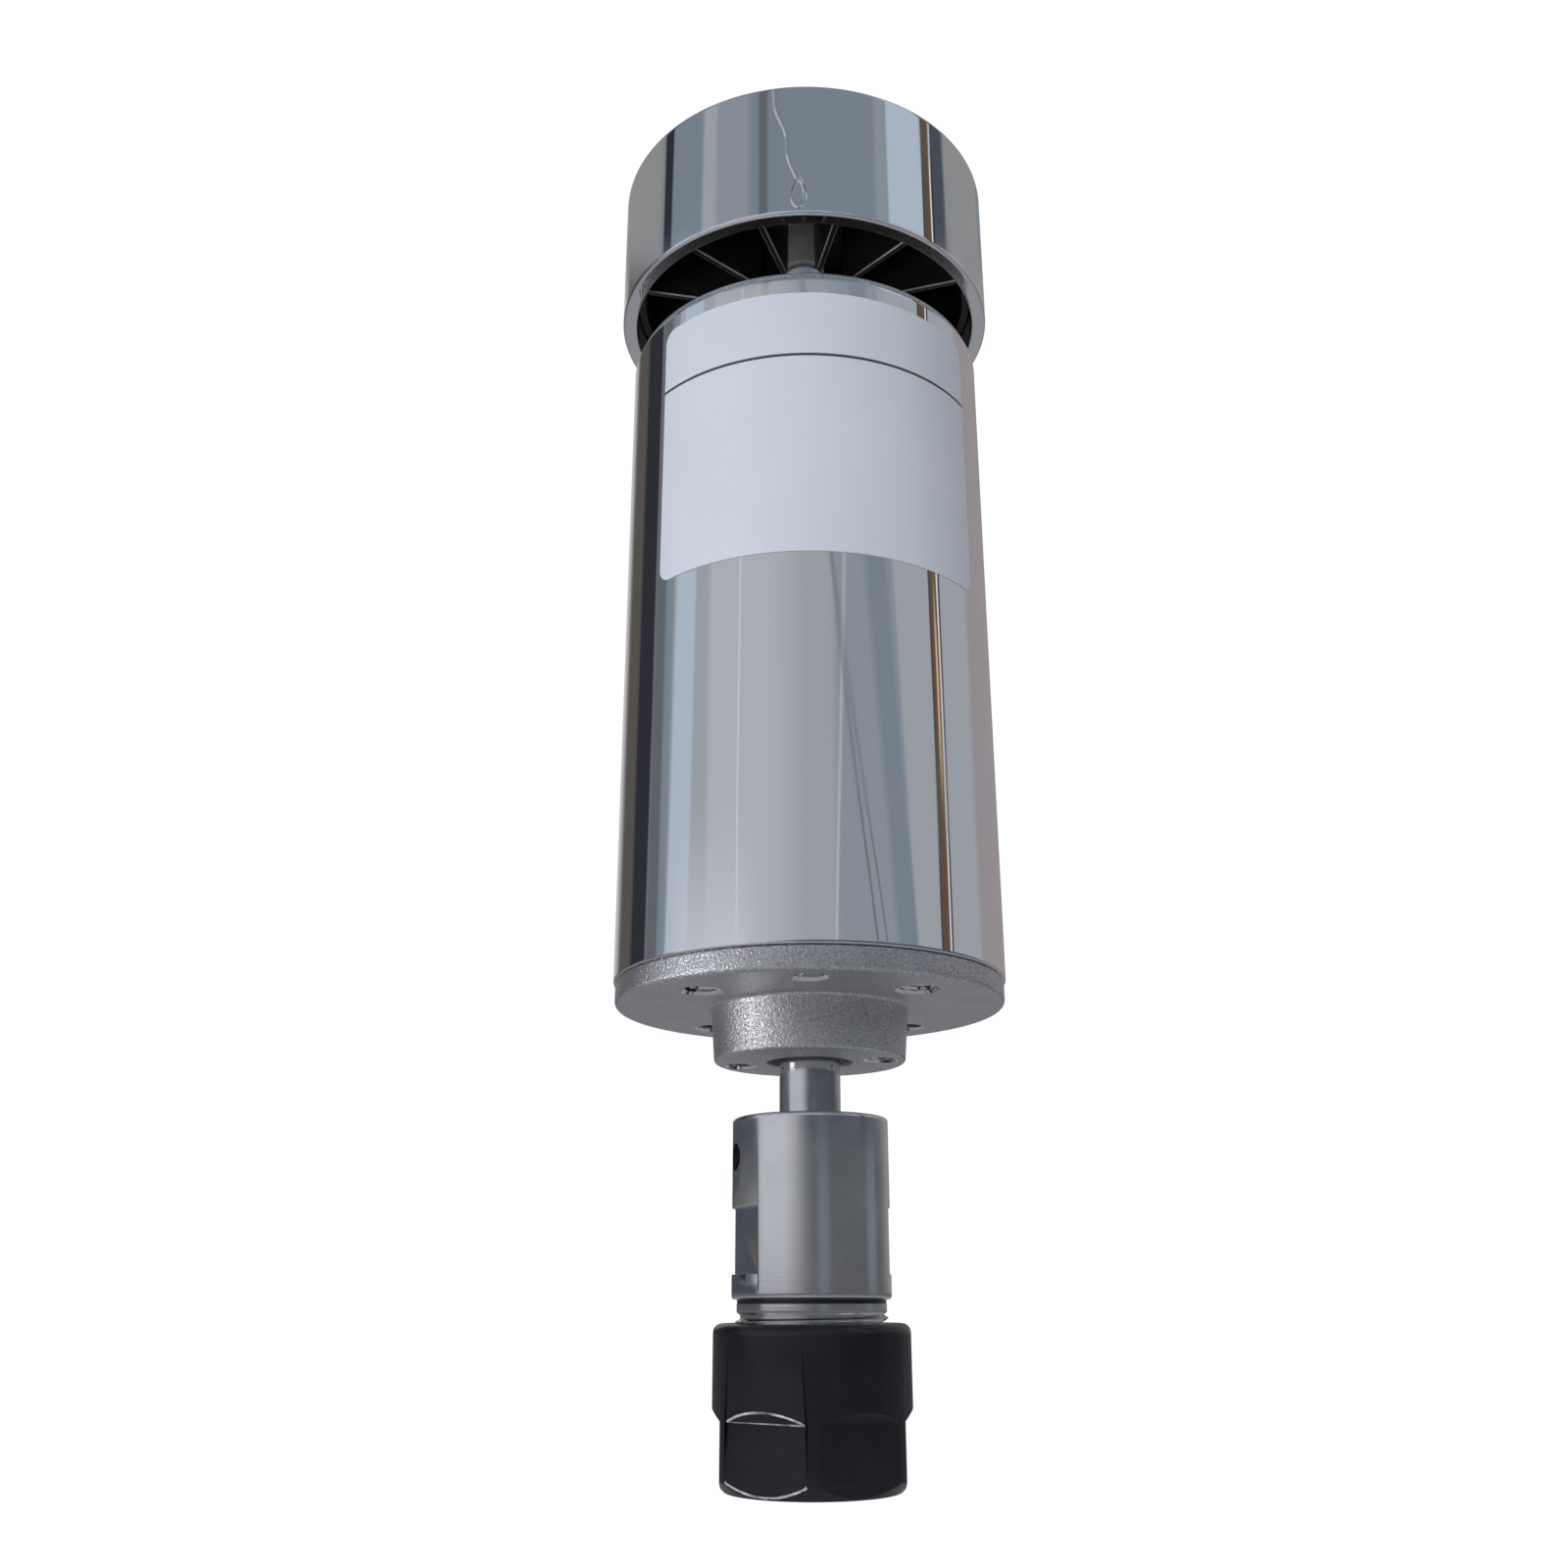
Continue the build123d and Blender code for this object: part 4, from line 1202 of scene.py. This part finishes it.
def panel_group():
    """Node group for one soft-edged studio panel, drawn over what stands behind it."""
    group = bpy.data.node_groups.new("studio_panel", "ShaderNodeTree")
    numbers = (
        "Azimuth", "Elevation", "Middle", "Lean", "Half Width", "Softness", "Bottom", "Top", "Fade",
    )
    for name in numbers:
        group.interface.new_socket(name, in_out="INPUT", socket_type="NodeSocketFloat")
    for name in ("Behind", "Colour"):
        group.interface.new_socket(name, in_out="INPUT", socket_type="NodeSocketColor")
    group.interface.new_socket("Result", in_out="OUTPUT", socket_type="NodeSocketColor")
    given = add_node(group, "NodeGroupInput").outputs
    result = add_node(group, "NodeGroupOutput")

    def worked(operation, *values):
        return math_node(group, operation, *values)

    def within(distance, half, softness):
        step = add_node(group, "ShaderNodeMapRange", interpolation_type="SMOOTHSTEP")
        set_inputs(step, To_Min=1.0, To_Max=0.0)
        plug(
            group, step, Value=distance, From_Min=worked("SUBTRACT", half, softness),
            From_Max=worked("ADD", half, softness),
        )
        return step.outputs["Result"]

    lean = worked("MULTIPLY", given["Lean"], worked("SUBTRACT", given["Elevation"], 15.0))
    aside = worked("SUBTRACT", given["Azimuth"], worked("ADD", given["Middle"], lean))
    aside = worked("ABSOLUTE", worked("WRAP", aside, 180.0, -180.0))
    across = within(aside, given["Half Width"], given["Softness"])
    level = worked("MULTIPLY", worked("ADD", given["Bottom"], given["Top"]), 0.5)
    reach = worked("MULTIPLY", worked("SUBTRACT", given["Top"], given["Bottom"]), 0.5)
    above = worked("ABSOLUTE", worked("SUBTRACT", given["Elevation"], level))
    cover = worked("MULTIPLY", across, within(above, reach, given["Fade"]))
    plug(group, result, Result=blended(group, cover, given["Behind"], given["Colour"]))
    return group


# tones of the studio's panels
bright = (0.85, 0.85, 0.90)
window = (0.60, 0.62, 0.68)
board = (0.50, 0.50, 0.50)
pale = (0.45, 0.52, 0.60)
silver = (0.46, 0.47, 0.50)
grey = (0.36, 0.38, 0.41)
cloth = (0.27, 0.30, 0.34)
neutral = (0.28, 0.28, 0.28)
slate = (0.20, 0.24, 0.28)
warm = (0.18, 0.17, 0.16)
mauve = (0.32, 0.29, 0.30)
shade = (0.13, 0.14, 0.15)
curtain = (0.10, 0.09, 0.08)
dusk = (0.07, 0.08, 0.10)
black = (0.03, 0.03, 0.04)
wood = (0.12, 0.08, 0.05)
amber = (0.75, 0.50, 0.30)


def studio_world():
    """White to the camera. In reflections, grey cloth panels stand before that white."""
    world = bpy.data.worlds.new("studio")
    bpy.context.scene.world = world
    world.use_nodes = True
    tree = world.node_tree
    tree.nodes.clear()
    direction = add_node(tree, "ShaderNodeTexCoord")
    axes = add_node(tree, "ShaderNodeSeparateXYZ")
    plug(tree, axes, Vector=direction.outputs["Generated"])
    ahead = math_node(tree, "MULTIPLY", axes.outputs["Y"], -1.0)
    turn = math_node(tree, "ARCTAN2", axes.outputs["X"], ahead)
    azimuth = math_node(tree, "DEGREES", turn)
    elevation = math_node(tree, "DEGREES", math_node(tree, "ARCSINE", axes.outputs["Z"]))
    group = panel_group()
    scenery = (1.0, 1.0, 1.0)

    def hang(middle, half_width, softness, bottom, top, colour, lean=0.0, fade=1.5):
        """Panel at an azimuth, between two elevations, in degrees; it leans with the height."""
        nonlocal scenery
        panel = add_node(tree, "ShaderNodeGroup", node_tree=group)
        set_inputs(
            panel, Middle=middle, Lean=lean, Half_Width=half_width, Softness=softness,
            Bottom=bottom, Top=top, Fade=fade, Colour=(*colour, 1.0),
        )
        plug(tree, panel, Azimuth=azimuth, Elevation=elevation)
        if isinstance(scenery, tuple):
            set_inputs(panel, Behind=(*scenery, 1.0))
        else:
            plug(tree, panel, Behind=scenery)
        scenery = panel.outputs["Result"]

    low = 8        # top of what the holder and nut mirror, in degrees above the horizon
    high = 38.5    # top of what the tube mirrors; the fan's ring mirrors what is above it
    top = 91
    bottom = -91

    # cloth all round: grey in front, warm behind, slate overhead
    hang(0, 181, 0.5, bottom, top, grey, fade=0.5)
    hang(180, 55, 14, bottom, top, warm, fade=0.5)
    hang(0, 181, 0.5, high, top, slate)
    # left, at the height of the tube: curtain, its dark edge, and pale boards with a seam
    hang(-152, 26, 3, bottom, high, curtain)
    hang(-118, 9.5, 2, low, high, black)
    hang(-102, 6.5, 1.5, low, high, shade)
    hang(-165, 14, 8, low, high, board)
    hang(-94, 4, 1, low, high, slate)
    hang(-48, 36, 14, bottom, high, silver)
    hang(-70, 9, 2, low, high, grey)
    hang(-82, 8, 1.2, low, high, pale, 0.2)
    hang(-58, 26, 10, low, 15, window, fade=5)
    hang(-40.5, 0.6, 0.25, low, high, window)
    # right, at the same height: cloth with two seams, a pale board, a warm wall
    hang(38, 21, 3, low, high, cloth)
    hang(17, 0.8, 0.4, low, high, silver, 0.5)
    hang(57, 7, 3, low, high, slate, -1.0)
    hang(36, 0.5, 0.2, low, high, shade, -1.6)
    hang(41, 0.4, 0.2, low, high, shade, -1.9)
    hang(135, 32, 14, bottom, high, mauve)
    hang(103, 15, 4, low, high, grey)
    hang(72, 9, 0.8, low, high, grey, -0.6)
    # at the height of the fan
    hang(-134, 32, 2, high, top, neutral)
    hang(-95, 4, 0.8, high, top, black)
    hang(-60, 6, 2, high, top, grey)
    hang(-44, 11, 3, high, top, cloth)
    hang(-25, 2.6, 1, high, top, shade)
    hang(50, 4, 2, high, top, cloth)
    hang(68, 13.5, 1, high, top, pale)
    hang(97, 8, 1.5, high, top, dusk)
    hang(126, 25, 2, high, top, neutral)
    # wooden strip on the right, with its glint and thin edges
    hang(84.5, 3.4, 0.3, low, top, wood, fade=3)
    hang(81.2, 0.5, 0.2, low, top, black, fade=3)
    hang(85.6, 0.7, 0.3, 19.5, 26, amber, fade=2)
    hang(88.6, 0.45, 0.2, low, top, bright, fade=3)
    hang(90, 0.7, 0.3, low, top, black, fade=3)
    # low down: a window on the left, dark furniture on the right
    hang(-122, 40, 4, bottom, low, dusk, fade=3)
    hang(-56, 24, 9, bottom, low, window, fade=3)
    hang(62, 72, 20, bottom, low, shade, fade=3)
    hang(18, 8, 5, bottom, low, slate, fade=3)
    hang(98, 9, 4, -1, low, slate, fade=3)
    hang(50, 62, 14, 5.5, 10.5, dusk)
    hang(72, 72, 20, bottom, -1, black, fade=2)

    ray = add_node(tree, "ShaderNodeLightPath")
    seen = blended(tree, ray.outputs["Is Glossy Ray"], (0.42, 0.43, 0.45), scenery)
    direct = ray.outputs["Is Camera Ray"]
    shown = math_node(tree, "MAXIMUM", direct, ray.outputs["Is Transmission Ray"])
    sky = set_inputs(add_node(tree, "ShaderNodeBackground"), Strength=1.0)
    plug(tree, sky, Color=blended(tree, shown, seen, (1.0, 1.0, 1.0)))
    result = add_node(tree, "ShaderNodeOutputWorld")
    plug(tree, result, Surface=sky.outputs[0])


def soft_lamp(name, place, target, size, power, *lit):
    """Square area lamp facing a target. With lit pieces, it lights only them and they mirror it."""
    light = bpy.data.lights.new(name, "AREA")
    light.shape = "SQUARE"
    light.size = size
    light.energy = power
    lamp = bpy.data.objects.new(name, light)
    lamp.location = place
    lamp.rotation_euler = (Vector(target) - Vector(place)).to_track_quat("-Z", "Y").to_euler()
    lamp.visible_glossy = bool(lit)
    lamp.visible_camera = False
    if lit:
        receivers = bpy.data.collections.new(name)
        lamp.light_linking.receiver_collection = receivers
        for piece in lit:
            receivers.objects.link(piece)
    put_in_scene(lamp)


pale_floor()
studio_world()
body_middle = (0, 0, 0.04)
soft_lamp("front_lamp", (-0.75, -0.8, 0.3), body_middle, 0.6, 8.0)
soft_lamp("side_lamp", (0.9, -0.3, 0.4), body_middle, 0.6, 2.6)
soft_lamp("back_lamp", (0.2, 1.0, 0.5), body_middle, 0.6, 5.0)
soft_lamp("under_lamp", (-0.12, -0.32, -0.13), (0, 0, 0.1), 0.15, 0.45)
soft_lamp(
    "low_lamp", (-0.84, -0.3, -0.15), (0, 0, 0), 0.28, 2.0, front_cap, mount_threads, nose_threads,
)

# -------- camera
lens = bpy.data.cameras.new("camera")
lens.lens = 33.81
lens.sensor_width = 36.0
lens.clip_start = 0.01
camera = bpy.data.objects.new("camera", lens)
camera.matrix_world = (
    Matrix.Translation((0.0, -0.19458, -0.03643))
    @ Matrix.Rotation(radians(0.973), 4, "Z")
    @ Matrix.Rotation(radians(90 + 19.35), 4, "X")
    @ Matrix.Rotation(radians(-0.122), 4, "Z")
)
bpy.context.scene.camera = put_in_scene(camera)
bpy.context.scene.view_settings.view_transform = "Standard"
